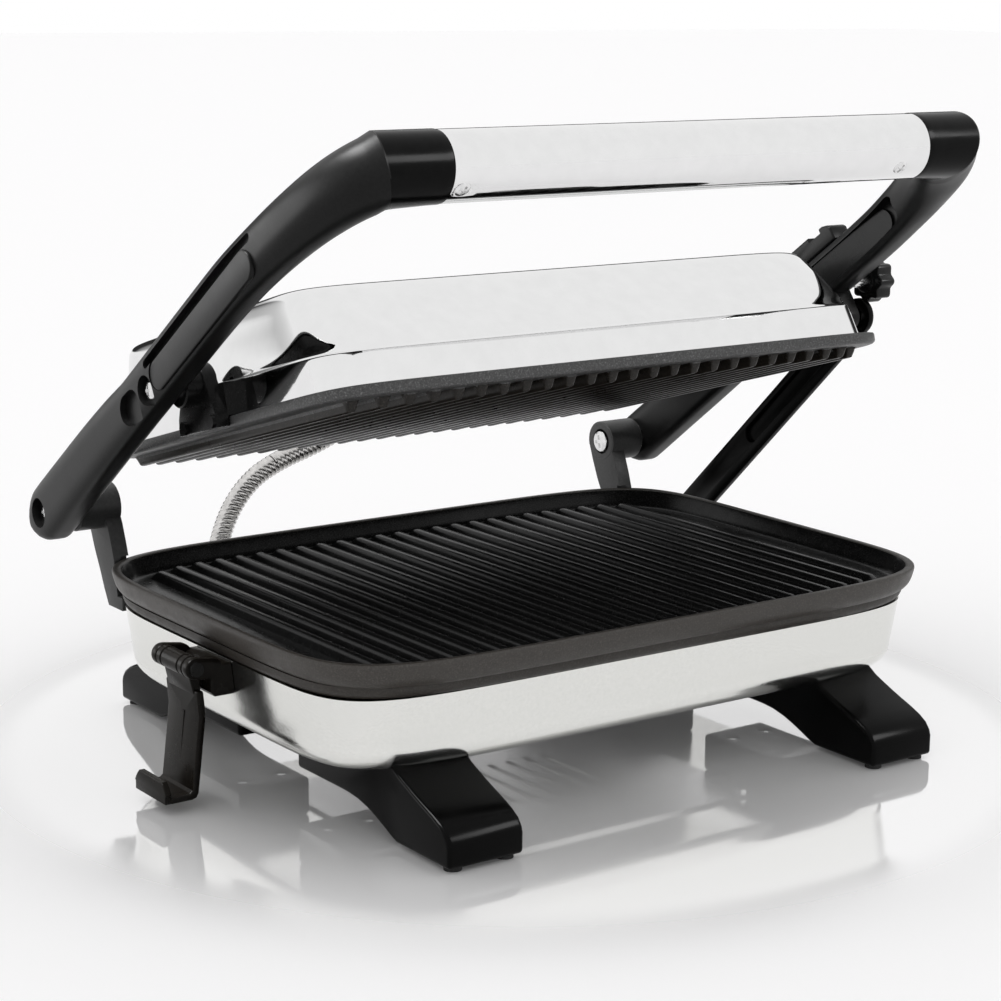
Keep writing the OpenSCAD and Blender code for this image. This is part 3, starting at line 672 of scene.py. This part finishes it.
def make_latch_strap():
    """Hanging latch: ribbed barrel, stepped strap and an upturned hook lip."""
    x, y, z = LATCH
    half = 13.5
    barrel = lathe("latch_strap_skin", [
        (y - 10.8, 3.7), (y - 10.2, 4.4), (y - 7.6, 4.4), (y - 7.2, 3.9), (y - 6.6, 3.9), (y - 6.2, 4.4),
        (y + 6.2, 4.4), (y + 6.6, 3.9), (y + 7.2, 3.9), (y + 7.6, 4.4), (y + 10.2, 4.4), (y + 10.8, 3.7),
    ], about_y(x, z))
    neck = prism("neck", [
        (x, z + 2), (x + 4.4, z), (x + 4.4, z - 12), (x + 1.2, z - 12), (x - 1, z - 3),
    ], y - 10.8, y + 10.8, swap_xy)
    soften(neck, 0.5, 2, 50)
    plate = prism("plate", [
        (x + 1.3, z - 10), (x + 4.3, z - 10), (x + 5.3, z - 19.5), (x + 5.1, z - 23), (x + 1.6, z - 52.5),
        (x + 0.6, z - 54.4), (x - 1.4, z - 55), (x - 11.4, z - 55), (x - 11.4, z - 52.4),
        (x - 2.4, z - 52), (x - 1.2, z - 51), (x + 2.3, z - 21),
    ], y - half, y + half, swap_xy)
    soften(plate, 0.9, 3, 50)
    lip_outline = [(y + half - 0.6, z - 55), (y + half - 0.6, z - 51.5)]
    lip_outline += arc(y, z - 57.6, 15.0, 25, 155, 16)
    lip_outline += [(y - half + 0.6, z - 51.5), (y - half + 0.6, z - 55)]
    lip_outline = [(u, min(v, z - 46.2)) for u, v in lip_outline]
    lip = prism("lip", lip_outline, x - 13.6, x - 10.9)
    soften(lip, 0.8, 3, 50)
    rib_outline = [(x + 2.0, z - 21), (x - 1.0, z - 50.5), (x + 0.4, z - 50.5), (x + 3.0, z - 21)]
    rib = prism("rib", rib_outline, y - 0.7, y + 0.7, swap_xy)
    boolean(barrel, [neck, plate, lip, rib], "UNION")
    boolean(barrel, [lathe("bore", [(y - 20, 2.05), (y + 20, 2.05)], about_y(x, z), 32)])
    dress(barrel, "latch", [LATCH_PLASTIC], ["latch_strap"])


def make_stay():
    """Flat bar that ties the base to the right arm, with a blind track for the stud."""
    stud = arm_point(0, *STUD)
    foot = STAY_FOOT
    dy, dz = stud[1] - foot[1], stud[2] - foot[2]
    span = math.hypot(dy, dz)
    turn = math.atan2(dz, dy)
    c, t = math.cos(turn), math.sin(turn)

    def place(x, u, v):
        return (x, foot[1] + u * c - v * t, foot[2] + u * t + v * c)

    bar = prism("lid_stay_skin", stadium((0, 0), (span, 0), 8.3, 20), STAY_X, STAY_X + STAY_T, place)
    hole = prism("hole", circle(0, 0, 3.0, 40), STAY_X - 1, STAY_X + STAY_T + 1, place)
    track = stadium((span * 0.45, -1), (span - 0.5, -1), 4.1)
    boolean(bar, [hole, prism("track", track, STAY_X - 1, STAY_X + STAY_T - 0.7, place)])
    soften(bar, 0.4, 2, 50)
    dress(bar, "stay", [STAY_PLASTIC], ["lid_stay"])
    pin_profile = [(ARM_IN + 2.2, 2.4), (STAY_X + 1.7, 2.4), (STAY_X + 2.1, 2.0)]
    pin = lathe("stay_stud_skin", pin_profile, about_x(*stud[1:]), 32)
    dress(pin, "handle", [SCREW_STEEL], ["stay_stud"])


# ---- conduit


CONDUIT_LOW = [
    (-84, 108, 48), (-84, 113, 48.3), (-83.5, 118, 49.5), (-82, 123, 52), (-79.5, 127.5, 57),
    (-76.5, 131, 63), (-73, 133.5, 70), (-69, 135, 78), (-64, 135.5, 86), (-58, 135.5, 93),
    (-51, 135.5, 98.5), (-43, 135.5, 102.5),
]
CONDUIT_HIGH = [
    (-42.8, 135.5, 102.6), (-35, 135.5, 105.5), (-27, 135.2, 108), (-19, 134.6, 110.8), (-11.5, 133.6, 114.2),
    (-5, 131.8, 118.2), (-1, 129.6, 122.2), (0.6, 127, 125.3), (0.6, 124.45, 127.95),
]


def even_path(points, step):
    """Points a fixed step apart on the smooth curve through a list of points."""
    dense = []
    padded = [points[0]] + list(points) + [points[-1]]
    for i in range(1, len(padded) - 2):
        a, b, c, d = (Vector(padded[i + k]) for k in (-1, 0, 1, 2))
        for k in range(24):
            dense.append(spline(a, b, c, d, k / 24))
    dense.append(Vector(points[-1]))
    even, carried = [dense[0]], 0.0
    for one, two in zip(dense, dense[1:]):
        gap = (two - one).length
        while carried + gap >= step:
            one = one + (two - one) * ((step - carried) / gap)
            gap = (two - one).length
            even.append(one.copy())
            carried = 0.0
        carried += gap
    return even


def make_conduit(name, points, node):
    """Armoured hose: a spiral of rounded steel turns along its route."""
    sides, pitch, radius, groove = 28, 2.4, 4.9, 0.55
    step = pitch / 8
    path = even_path(points, step)
    side = Vector((0.2, 1, 0.1))
    rings = []
    for k, centre in enumerate(path):
        ahead = path[min(k + 1, len(path) - 1)] - path[max(k - 1, 0)]
        ahead.normalize()
        side = (side - ahead * side.dot(ahead)).normalized()
        up = ahead.cross(side)
        ring = []
        for i in range(sides):
            angle = 2 * math.pi * i / sides
            phase = (k * step / pitch - i / sides) % 1.0
            r = radius - groove * abs(2 * phase - 1) ** 3
            ring.append(tuple(centre + (side * math.cos(angle) + up * math.sin(angle)) * r))
        rings.append(ring)
    hose = loft(name, rings)
    dress(hose, None, [CONDUIT_STEEL], [node], crease=60)
    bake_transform(hose)


def make_gland(name, origin, direction, length, radius, body, node):
    """Collar and hexagon nut where the conduit enters a housing."""
    place = along(origin, direction)
    corners = [(radius * math.cos(math.pi * k / 3), radius * math.sin(math.pi * k / 3)) for k in range(6)]
    nut = [[(h, u, v) for u, v in corners] for h in (length * 0.35, length * 0.72)]
    hexagon = soften(loft("nut", nut, place), 0.4, 2, 40)
    collar = lathe(name, [
        (0, radius * 0.80), (0.4, radius * 0.86), (length * 0.30, radius * 0.88),
        (length * 0.34, radius * 0.93), (length * 0.74, radius * 0.93), (length * 0.8, radius * 0.82),
        (length, radius * 0.80),
    ], place)
    boolean(collar, [hexagon], "UNION")
    dress(collar, body, [SCREW_STEEL], [node])


# ---- screws


def make_screw(name, origin, direction, r, h):
    """Low domed head with a cross recess."""
    place = along(origin, direction)
    dome = [(0, r), (h * 0.35, r * 0.97), (h * 0.7, r * 0.82), (h * 0.93, r * 0.5), (h, r * 0.12)]
    head = lathe(name, [(-0.6, r * 0.98)] + dome, place, 40)
    wide, long = 0.16 * r, 0.62 * r
    bar = [(-wide, -long), (wide, -long), (wide, long), (-wide, long)]
    for arm in (bar, [(v, u) for u, v in bar]):
        boolean(head, [loft("cross", [[(k, u, v) for u, v in arm] for k in (h * 0.3, h + 1)], place)])
    return head


def gather(name, parts):
    """One object from several that don't touch."""
    first = parts[0]
    work = bmesh.new()
    for part in parts:
        work.from_mesh(part.data)
    work.to_mesh(first.data)
    work.free()
    for part in parts[1:]:
        bpy.data.objects.remove(part)
    first.name = name
    return first


def make_shoulder_bolts(name, joint, x_from, r, head_r, far_r, nodes):
    """Left and right pivot bolts with a cross head outside and, for the hinge, a wide head inside."""
    y, z = joint[1:]
    bolts = []
    for side in (-1, 1):
        profile = [(x_from, far_r), (x_from + 3.2, far_r), (x_from + 3.2, r), (BOLT_HEAD_X, r)]
        shank = lathe("shank", profile, about_x(y, z, side), 40)
        head = make_screw("head", (side * (BOLT_HEAD_X + 0.5), y, z), (side, 0, 0), head_r, 1.6)
        bolts += [shank, head]
        if far_r > r:
            bolts.append(make_screw("far_head", (side * (x_from - 0.02), y, z), (-side, 0, 0), far_r, 1.0))
    dress(gather(name, bolts), "handle", [SCREW_STEEL], nodes)


# ---- handle frame


def arm_stations():
    """Stations of an arm's round end at the hinge, and of the rest of it.

    Each holds the outer x and s, the inner x and s, the upper and lower p, and an exponent.
    """
    end = []
    end_r = 12.6
    for t in (0.0, 0.15, 0.32, 0.5, 0.68, 0.84, 0.94, 0.99):
        s = -end_r * math.cos(math.pi / 2 * t)
        h = max(1.6, end_r * math.sin(math.pi / 2 * t))
        round_in = 0.9 * (1 - t) ** 2
        end.append((ARM_OUT + 1 - round_in, s, ARM_IN + round_in, s, h, -h, 3.6))
    rest = [
        (174.0, 6, 159.0, 6, 12.6, -12.4, 3.8), (174.0, 30, 159.0, 30, 12.4, -11.8, 3.9),
        (173.8, 60, 159.0, 60, 12.2, -11.2, 4), (173.2, 84, 159.0, 84, 11.8, -10.8, 4),
        (173.0, 98, 159.0, 98, 10.9, -10.6, 4), (173.0, 106, 159.0, 106, 10.45, -10.5, 4),
        (173.0, 131, 159.0, 131, 10.45, -10.5, 4), (173.0, 150, 159.0, 150, 10.5, -10.5, 4),
        (173.0, 180, 159.0, 180, 10.5, -10.5, 4), (173.0, 200, 158.4, 199, 10.6, -10.6, 3.8),
        (172.6, 214, 157.2, 210, 10.8, -10.7, 3.3), (171.4, 228, 155.4, 220, 11.2, -10.9, 2.9),
        (169.7, 242, 153.2, 230, 11.7, -11.3, 2.6), (167.6, 254, 150.6, 239, 12.2, -11.7, 2.4),
        (165.0, 265, 147.8, 247, 12.6, -12.1, 2.3), (162.0, 274, 145.2, 252.8, 12.9, -12.5, 2.25),
        (158.6, 281, 142.9, 257, 13.2, -12.8, 2.2), (155.2, 286.4, 140.8, 260.2, 13.4, -13.1, 2.15),
        (151.6, 290.8, 139.0, 262.6, 13.6, -13.4, 2.1),
    ]
    return end, rest


def arm_ring(x_out, s_out, x_in, s_in, top, bottom, exponent, count=72):
    """Rounded outline of an arm at one station."""
    cx, cs = (x_out + x_in) / 2, (s_out + s_in) / 2
    ux, us = (x_out - x_in) / 2, (s_out - s_in) / 2
    ring = []
    for i in range(count):
        t = 2 * math.pi * i / count
        c, q = power(math.cos(t), exponent), power(math.sin(t), exponent)
        ring.append((cx + ux * c, cs + us * c, (top if q > 0 else -bottom) * q))
    return ring


def cap_ring(x_front, x_back, r, back, count=72):
    """Ring of the cap round the tube's axis; its back bulges to meet the arm."""
    ring = []
    for i in range(count):
        t = 2 * math.pi * i / count
        c, q = math.cos(t), math.sin(t)
        lean = x_back + (x_front - x_back) * (0.5 + 0.5 * c)
        ring.append((lean, REACH + (r * c if c > 0 else (REACH - back) * c), r * q))
    return ring


def refine(rows, steps):
    """Smooth stations between the given ones."""
    out = []
    for i in range(len(rows) - 1):
        p0, p1, p2, p3 = (rows[min(max(i + k, 0), len(rows) - 1)] for k in (-1, 0, 1, 2))
        for k in range(steps):
            out.append([spline(a, b, c, d, k / steps) for a, b, c, d in zip(p0, p1, p2, p3)])
    return out + [rows[-1]]


def make_arm(side):
    """Arm with its bend and the glossy cap that holds the tube."""

    def place(x, s, p):
        return arm_point(side * x, s, p)

    end, rest = arm_stations()
    rings = [arm_ring(*row) for row in end + refine(rest, 4)]
    cap = [(148.6, 137.6, 264.4), (148.0, 136.9, 264.8)]
    cap += [(148.0 - k * 3.6, 136.0 - k * 2.2, 265.3 + k * 0.45) for k in range(1, 7)]
    cap += [(122.5, 121.6, 268.2), (120.2, 120.0, 268.25)]
    rings += [cap_ring(f, b, TUBE_R + 0.2, back) for f, b, back in cap]
    rings.append(cap_ring(CAP_IN + 0.3, CAP_IN + 0.3, TUBE_R + 0.1, 268.2))
    rings.append(cap_ring(CAP_IN, CAP_IN, TUBE_R - 0.5, 268.8))
    arm = loft("arm", rings, place)
    cuts = [
        prism("hinge_recess", circle(0, 0, 6.6, 56), ARM_OUT - 3.0, CUT_OUT, place),
        prism("pivot_recess", circle(*ARM_PIVOT, 6.3, 56), ARM_OUT - 3.6, CUT_OUT, place),
        prism("tube_end", circle(REACH, 0, TUBE_R - 1.8, 64), CAP_IN - 4, CAP_IN + 6, place),
    ]
    if side < 0:
        grooves = [
            ("crescent", stadium((104.5, -3.0), (109.5, -3.4), 6.6), 3.2),
            ("panel_gap", stadium(*ARM_PANEL, 6.3, 20), 1.8),
            ("long_slot", stadium((130, 4.8), (228, 5.0), 1.9), 3.8),
        ]
        cuts += [prism(what, outline, ARM_OUT - depth, CUT_OUT, place) for what, outline, depth in grooves]
    cuts.append(prism("inner_pocket", stadium((138, 0), (226, 0), 6.6, 20), ARM_IN - 6, ARM_IN + 2.4, place))
    boolean(arm, cuts)
    name = "arm_" + SIDE[side]
    arm.name = name + "_skin"
    nodes = [name, "arm_trim_left"] if side < 0 else [name]
    dress(arm, "handle", [ARM_SATIN, CAP_GLOSS], nodes, crease=28)
    for face in arm.data.polygons:
        c = face.center / MM
        s = (HINGE[1] - c.y) * math.cos(ARM_RISE) + (c.z - HINGE[2]) * math.sin(ARM_RISE)
        p = (HINGE[1] - c.y) * -math.sin(ARM_RISE) + (c.z - HINGE[2]) * math.cos(ARM_RISE)
        off = math.hypot(s - REACH, p)
        lean = (s - REACH) / off if off > 0.1 else 0
        if s > CAP_FROM and abs(c.x) < CAP_OUT + CAP_LEAN * lean:
            face.material_index = 1
    if side < 0:
        outline = stadium(*ARM_PANEL, 6.1, 20)
        panel = prism("arm_panel_left", outline, ARM_OUT - 2.4, ARM_OUT - 0.35, place)
        soften(panel, 0.45, 3, 50)
        dress(panel, "handle", [ARM_SATIN])


def make_stay_ear():
    """Ear under the right arm that carries the stay's stud."""
    ear = prism("stay_ear", stadium(STUD, (STUD[0], -7), 6, 20), ARM_IN + 2.0, ARM_OUT - 1.0, arm_point)
    soften(ear, 0.8, 3, 50)
    dress(ear, "handle", [BLACK_PLASTIC])


def tube_screw_place(x):
    """Centre of the tube at x, and the direction in which its screw faces."""
    direction = Vector((0, -math.sin(TUBE_SCREW_TURN), math.cos(TUBE_SCREW_TURN)))
    y, z = arm_point(0, REACH, 0)[1:]
    return Vector((x, y, z)), direction


def make_tube():
    """Polished tube with a pressed dimple round each screw."""
    half, steps = 118.9, 40
    profile = [(-half + 2 * half * k / steps, TUBE_R) for k in range(steps + 1)]
    tube = lathe("handle_tube_skin", profile, about_x(*arm_point(0, REACH, 0)[1:]), 128)
    ball_r, dip, steps = 8.6, 1.0, 20
    ball = []
    for k in range(steps + 1):
        radius = max(0.02, ball_r * math.sin(math.pi * k / steps))
        ball.append((ball_r * math.cos(math.pi * (1 - k / steps)), radius))
    for x in TUBE_SCREW_X:
        centre, direction = tube_screw_place(x)
        middle = centre + direction * (TUBE_R + (ball_r - dip))
        boolean(tube, [lathe("dimple", ball, along(middle, direction))])
    dress(tube, "handle", [CHROME], ["handle_tube"], crease=50)


def make_tube_screws():
    """The two screws that hold the tube in its caps, as one piece."""
    name, r, h, sunk = "handle_screw_heads", 3.4, 1.3, 0.9
    heads = []
    for x in TUBE_SCREW_X:
        centre, direction = tube_screw_place(x)
        heads.append(make_screw(name, centre + direction * (TUBE_R - sunk), direction, r, h))
    dress(gather(name, heads), "handle", [SCREW_STEEL], ["handle_screws"])


def make_knob():
    """Fluted lock knob."""
    x0, x1 = 180.6, 189.5
    radius, flute, flutes, steps = 9.6, 0.85, 8, 128
    on_stud = about_x(*KNOB[1:])
    ring = []
    for i in range(steps):
        t = 2 * math.pi * i / steps
        r = radius + flute * math.cos(flutes * t)
        ring.append((KNOB[1] + r * math.cos(t), KNOB[2] + r * math.sin(t)))
    knob = prism("lock_knob_skin", ring, x0, x1)
    soften(knob, 0.9, 4, 60)
    boolean(knob, [lathe("dish", [(x1 - 1.2, 5.2), (x1 + 1, 6.4)], on_stud)])
    boolean(knob, [lathe("collar", [(179.4, 5.2), (179.7, 5.6), (181.5, 5.6)], on_stud)], "UNION")
    boolean(knob, [lathe("bore", [(178, 3.0), (187.6, 3.0)], on_stud, 32)])
    dress(knob, "knob", [KNOB_PLASTIC], ["lock_knob"], crease=40)


def make_stop_block():
    """Notched block on top of the right arm."""
    outline = [(130, 9.9), (184, 10.2), (184, 16.6), (182.8, 18.2), (179, 19.6), (150, 19.8)]
    outline += [(147, 19.2), (133, 13.6)]
    block = prism("arm_stop_block_skin", outline, ARM_IN + 1.5, ARM_OUT - 1.5, arm_point)
    soften(block, 0.9, 3, 25)
    outline = [(168, 17.2), (177, 17.2), (177, 24), (168, 24)]
    boolean(block, [prism("notch", outline, ARM_IN - 1, ARM_OUT - 5, arm_point)])
    dress(block, "handle", [BLACK_PLASTIC], ["arm_stop_block"])


# ---- lid


LID_LEVELS = [
    # up, half width, front, rear, and the exponents of the front and rear corners
    (5.0, 140.5, 9.5, 214, 11, 8), (10, 140.3, 10.9, 212.4, 11, 8.5), (15, 140.1, 12.3, 210.8, 11, 9),
    (18.0, 139.9, 13.1, 209.8, 11, 9), (18.9, 139.8, 13.4, 209.5, 11, 9), (19.3, 139.4, 14.3, 209.0, 11, 9),
    (19.9, 139.2, 14.9, 208.8, 11, 9), (21.4, 139.0, 16.0, 208.4, 11, 10), (24, 138.5, 18.3, 207.6, 12, 11),
    (30, 137.3, 23.9, 206.6, 13, 12), (37, 135.9, 30.4, 205.2, 14, 13), (43, 134.8, 36.1, 204.0, 15, 14),
    (46, 134.0, 39.3, 203.0, 15, 14), (47.9, 132.2, 42.6, 201.0, 14, 14), (48.9, 128, 47.8, 196.5, 12, 12),
    (49.6, 112, 62, 180, 8, 8), (49.9, 85, 80, 160, 6, 6), (50.0, 45, 100, 140, 5, 5),
]


def lid_ring(up, a, front, rear, n_front, n_rear, count=384):
    """Closed outline of the lid, with its own corner exponents at the front and the rear."""
    middle, half = (rear + front) / 2, (rear - front) / 2
    ring = []
    for i in range(count):
        t = 2 * math.pi * i / count
        n = n_rear if math.sin(t) > 0 else n_front
        ring.append((a * power(math.cos(t), n), middle + half * power(math.sin(t), n), up))
    return ring


def make_lid():
    """Pressed chrome cover: upright skirt, long front slope and a nearly flat top."""
    shell = loft("lid_skin", [lid_ring(*level) for level in smooth_levels(LID_LEVELS, 2)], lid_point)
    wall, low = 1.2, LID_LEVELS[0][0]
    inner = [[u - wall, a - wall, f + wall, r - wall, n, m] for u, a, f, r, n, m in LID_LEVELS]
    inner[0][0] = low
    inner.insert(0, [low - 2] + inner[0][1:])
    boolean(shell, [loft("lid_hollow", [lid_ring(*level) for level in inner], lid_point)])
    dress(shell, "lid", [LID_CHROME], ["lid_shell"], crease=50)


def make_upper_plate():
    """Cast plate under the lid, with ribs that point down."""
    w, f, r = LID_W, LID_FRONT, LID_REAR
    levels = [(0.0, 1.8), (0.25, 0.9), (0.9, 0.25), (1.6, 0.0), (4.2, 0.0), (4.8, 0.25), (5.0, 0.9)]
    n_front, n_rear = 11, 8
    rings = [lid_ring(up, w - i, f + i, r - i, n_front, n_rear) for up, i in levels]
    plate = loft("upper_plate_skin", rings, lid_point)
    middle = (f + r) / 2
    ribs = make_ribs(
        "upper_ribs", RIB_HEIGHT, lambda x: bowed_y(x, w - 4.5, (r - f) / 2 - 6, 8), middle, 2.4,
        lambda x, along_lid, z: lid_point(x, along_lid, -z),
    )
    boolean(plate, [ribs], "UNION")
    dress(plate, "lid", [UPPER_CAST, UPPER_RIBS], ["upper_grill_plate"])
    for face in plate.data.polygons:
        c = face.center / MM
        dy, dz = c.y - PIVOT[1], c.z - PIVOT[2]
        up = PIVOT_RISE + dy * math.sin(LID_TILT) + dz * math.cos(LID_TILT)
        if up < -0.3:
            face.material_index = 1


def make_lid_bracket(side):
    """Plate on the lid's end with the boss of the lid pivot."""

    def place(x, u, v):
        return lid_point(side * x, u, v)

    def on_pivot(x, u, v):
        return place(x, m + u, h + v)

    m, h = PIVOT_ALONG, PIVOT_RISE
    inner = LID_W + 0.6
    outline = [(m - 14.5, 1), (m + 19, 1), (m + 17.4, 8), (m + 9.6, h + 3)]
    outline += arc(m, h, 9.4, 20, 160, 14) + [(m - 9.0, h + 1), (m - 14, 7)]
    plate = prism("bracket", outline, inner, inner + 6.3, place)
    soften(plate, 1.0, 3, 45)
    boss = lathe("boss", [(inner + 1, 8.4), (157.9, 8.4), (158.5, 7.8)], on_pivot, 56)
    tongue_outline = [(m - 14, 5.3), (m + 14, 5.3), (m + 14, 18.8), (m - 14, 18.8)]
    tongue = prism("tongue", tongue_outline, LID_W - 6, LID_W + 1, place)
    boolean(plate, [boss, tongue], "UNION")
    lid_block = loft("lid_block", [lid_ring(*level, count=128) for level in LID_LEVELS], lid_point)
    bore = lathe("bore", [(LID_W - 12, 4.0), (160, 4.0)], on_pivot, 40)
    boolean(plate, [lid_block, bore])
    name = "lid_bracket_" + SIDE[side]
    plate.name = name + "_skin"
    dress(plate, "lid", [BLACK_PLASTIC], [name])


# ---- CAD nodes that stay, with their materials


KEPT = (
    (SHEET_STEEL, ("bottom_cover", "lower_heat_shield", "thermostat", "upper_heat_shield")),
    (TINTED_STEEL, ("lower_heating_element", "upper_heating_element")),
    (SCREW_STEEL, ("bottom_cover_screws", "foot_screws", "stay_pivot_pin", "hinge_washers", "knob_stud")),
    (RUBBER, ("foot_pads",)),
    (BLACK_PLASTIC, (
        "latch_pin", "stay_bracket", "cord_inlet", "arm_cover_left", "arm_cover_right", "lid_bracket_screws",
    )),
)


def dress_kept_nodes():
    """Gives each CAD node that stays visible its material."""
    for material, names in KEPT:
        for name in names:
            mesh = frame["nodes"][name].data
            for k in range(len(mesh.materials)):
                mesh.materials[k] = material
            if not mesh.materials:
                mesh.materials.append(material)


# ---- camera, lights and floor


def make_camera():
    """Long lens, a little above the press, from its front left."""
    data = bpy.data.cameras.new("camera")
    data.sensor_width = 36.0
    data.lens = 86.97
    data.clip_start = 0.05
    data.clip_end = 100.0
    camera = add_object("camera", data)
    azimuth, height, roll = 35.57, 12.19, 0.57
    turn = (
        Matrix.Rotation(math.radians(-azimuth), 4, "Z")
        @ Matrix.Rotation(math.radians(90.0 - height), 4, "X")
        @ Matrix.Rotation(math.radians(roll), 4, "Z")
    )
    camera.matrix_world = Matrix.Translation((-0.61170, -0.84670, 0.33014)) @ turn
    bpy.context.scene.camera = camera


def area_light(name, place, aim, size, power_w):
    """Rectangular softbox at place that faces aim, both in metres."""
    data = bpy.data.lights.new(name, "AREA")
    data.shape = "RECTANGLE"
    data.size, data.size_y = size
    data.energy = power_w
    lamp = add_object(name, data)
    look = Vector(aim) - Vector(place)
    lamp.matrix_world = Matrix.Translation(place) @ look.to_track_quat("-Z", "Y").to_matrix().to_4x4()
    return lamp


def math_node(tree, operation, one, two):
    """Clamped maths on two numbers or sockets."""
    node = tree.nodes.new("ShaderNodeMath")
    node.operation = operation
    node.use_clamp = True
    for socket, value in zip(node.inputs, (one, two)):
        if isinstance(value, (int, float)):
            socket.default_value = value
        else:
            tree.links.new(value, socket)
    return node.outputs[0]


BEHIND = (0.58, 0.81, 0.0)
STRIP = ((0.0, 0), (0.02, 0), (0.04, 1), (0.22, 1), (0.27, 0))
STRIP_GREY = 0.03


def make_world():
    """White studio with one dim strip low behind the press, which draws the edges of the chrome."""
    world = bpy.data.worlds.new("studio")
    bpy.context.scene.world = world
    world.use_nodes = True
    tree = world.node_tree
    background = tree.nodes["Background"]
    coord = tree.nodes.new("ShaderNodeTexCoord").outputs["Generated"]
    parts = tree.nodes.new("ShaderNodeSeparateXYZ")
    tree.links.new(coord, parts.inputs[0])
    strip = add_ramp(tree, parts.outputs["Z"], [(height, (k, k, k)) for height, k in STRIP])
    away = tree.nodes.new("ShaderNodeVectorMath")
    away.operation = "DOT_PRODUCT"
    away.inputs[1].default_value = BEHIND
    tree.links.new(coord, away.inputs[0])
    facing = math_node(tree, "MULTIPLY", math_node(tree, "SUBTRACT", away.outputs["Value"], 0.35), 3.0)
    unseen = math_node(tree, "SUBTRACT", 1.0, tree.nodes.new("ShaderNodeLightPath").outputs["Is Camera Ray"])
    share = math_node(tree, "MULTIPLY", math_node(tree, "MULTIPLY", strip, facing), unseen)
    mix = tree.nodes.new("ShaderNodeMixRGB")
    mix.inputs["Color1"].default_value = (1, 1, 1, 1)
    mix.inputs["Color2"].default_value = (STRIP_GREY, STRIP_GREY, STRIP_GREY, 1)
    tree.links.new(share, mix.inputs["Fac"])
    tree.links.new(mix.outputs["Color"], background.inputs["Color"])
    background.inputs["Strength"].default_value = 1.0


def light_group(name, materials):
    """Collection of the pieces that carry any of these materials."""
    group = bpy.data.collections.new(name)
    wanted = {material.name for material in materials}
    for obj in bpy.context.scene.objects:
        if obj.type == "MESH" and any(m and m.name in wanted for m in obj.data.materials):
            group.objects.link(obj)
    return group


def make_light():
    """Soft light from all round, and softboxes that only light the black plastic."""
    make_world()
    black = light_group("plastics", [
        ARM_SATIN, FOOT_GLOSS, BLACK_PLASTIC, POST_SATIN, LATCH_PLASTIC, KNOB_PLASTIC,
    ])
    for name, place, aim, size, power_w in (
        ("softbox_top", (-0.62, 0.30, 1.30), (-0.12, 0, 0.2), (0.7, 0.7), 42),
        ("softbox_front", (0.70, -0.95, 0.86), (-0.10, -0.1, 0.25), (0.7, 0.35), 9),
        ("softbox_side", (-1.20, 1.05, 0.35), (-0.15, 0, 0.2), (1.2, 0.6), 9),
    ):
        area_light(name, place, aim, size, power_w).light_linking.receiver_collection = black
    bpy.context.scene.view_settings.view_transform = "Standard"


GLOSS_FULL, GLOSS_GONE = 0.12, 0.31
FLOOR_METALLIC, FLOOR_ROUGH, FLOOR_ROUGH_DROP, FLOOR_ROUGH_LEAST = 0.55, 0.75, 1.4, 0.05


def make_floor():
    """Pale table top that mirrors the press near it, and is dull further out."""
    mesh = bpy.data.meshes.new("floor")
    edge = 12.0
    corners = [(-edge, -edge, 0), (edge, -edge, 0), (edge, edge, 0), (-edge, edge, 0)]
    mesh.from_pydata(corners, [], [(0, 1, 2, 3)])
    floor = add_object("floor", mesh)
    mat, tree, shader = new_material("floor_white")
    shader.inputs["Base Color"].default_value = (0.99, 0.985, 0.99, 1)
    shader.inputs["Emission Color"].default_value = (1, 1, 1, 1)
    shader.inputs["Emission Strength"].default_value = 0.025
    shader.inputs["Specular IOR Level"].default_value = 0.5
    reach = tree.nodes.new("ShaderNodeVectorMath")
    reach.operation = "LENGTH"
    tree.links.new(tree.nodes.new("ShaderNodeTexCoord").outputs["Object"], reach.inputs[0])
    share = add_range(tree, reach.outputs["Value"], 1.0, 0.0, GLOSS_FULL, GLOSS_GONE)
    share.node.interpolation_type = "SMOOTHSTEP"
    tree.links.new(math_node(tree, "MULTIPLY", share, FLOOR_METALLIC), shader.inputs["Metallic"])
    dull = math_node(tree, "SUBTRACT", FLOOR_ROUGH, math_node(tree, "MULTIPLY", share, FLOOR_ROUGH_DROP))
    tree.links.new(math_node(tree, "MAXIMUM", dull, FLOOR_ROUGH_LEAST), shader.inputs["Roughness"])
    mesh.materials.append(mat)


# ---- the whole model


make_camera()
make_floor()

make_housing()
make_lower_plate()
make_bezel()
for x_side in (-1, 1):
    for y_side in (-1, 1):
        make_foot(x_side, y_side)
for side in (-1, 1):
    make_post(side)
make_latch_bracket()
make_latch_strap()
make_stay()
make_conduit(
    "conduit_base", CONDUIT_LOW, "lower_conduit",
)
make_conduit(
    "conduit_lid", CONDUIT_HIGH, "upper_conduit",
)
make_gland("gland_base", (-84, 107.8, 48), (0, -1, 0), 8, 7.5, "base", "lower_conduit_gland")
make_gland("gland_lid", (0.6, 124.2, 128.2), (0, -0.695, 0.719), 12, 7, "lid", "upper_conduit_gland")
for side in (-1, 1):
    make_arm(side)
make_stay_ear()
make_tube()
make_knob()
make_stop_block()
make_lid()
make_upper_plate()
for side in (-1, 1):
    make_lid_bracket(side)
make_tube_screws()
make_shoulder_bolts(
    "hinge_bolt_skins", HINGE, x_from=138.2, r=2.97, head_r=3.3, far_r=5.3, nodes=["hinge_bolts"],
)
make_shoulder_bolts(
    "pivot_bolt_skins", PIVOT, x_from=LID_W + 1.5, r=3.9, head_r=3.9, far_r=3.9, nodes=["lid_pivot_bolts"],
)
dress_kept_nodes()
make_light()
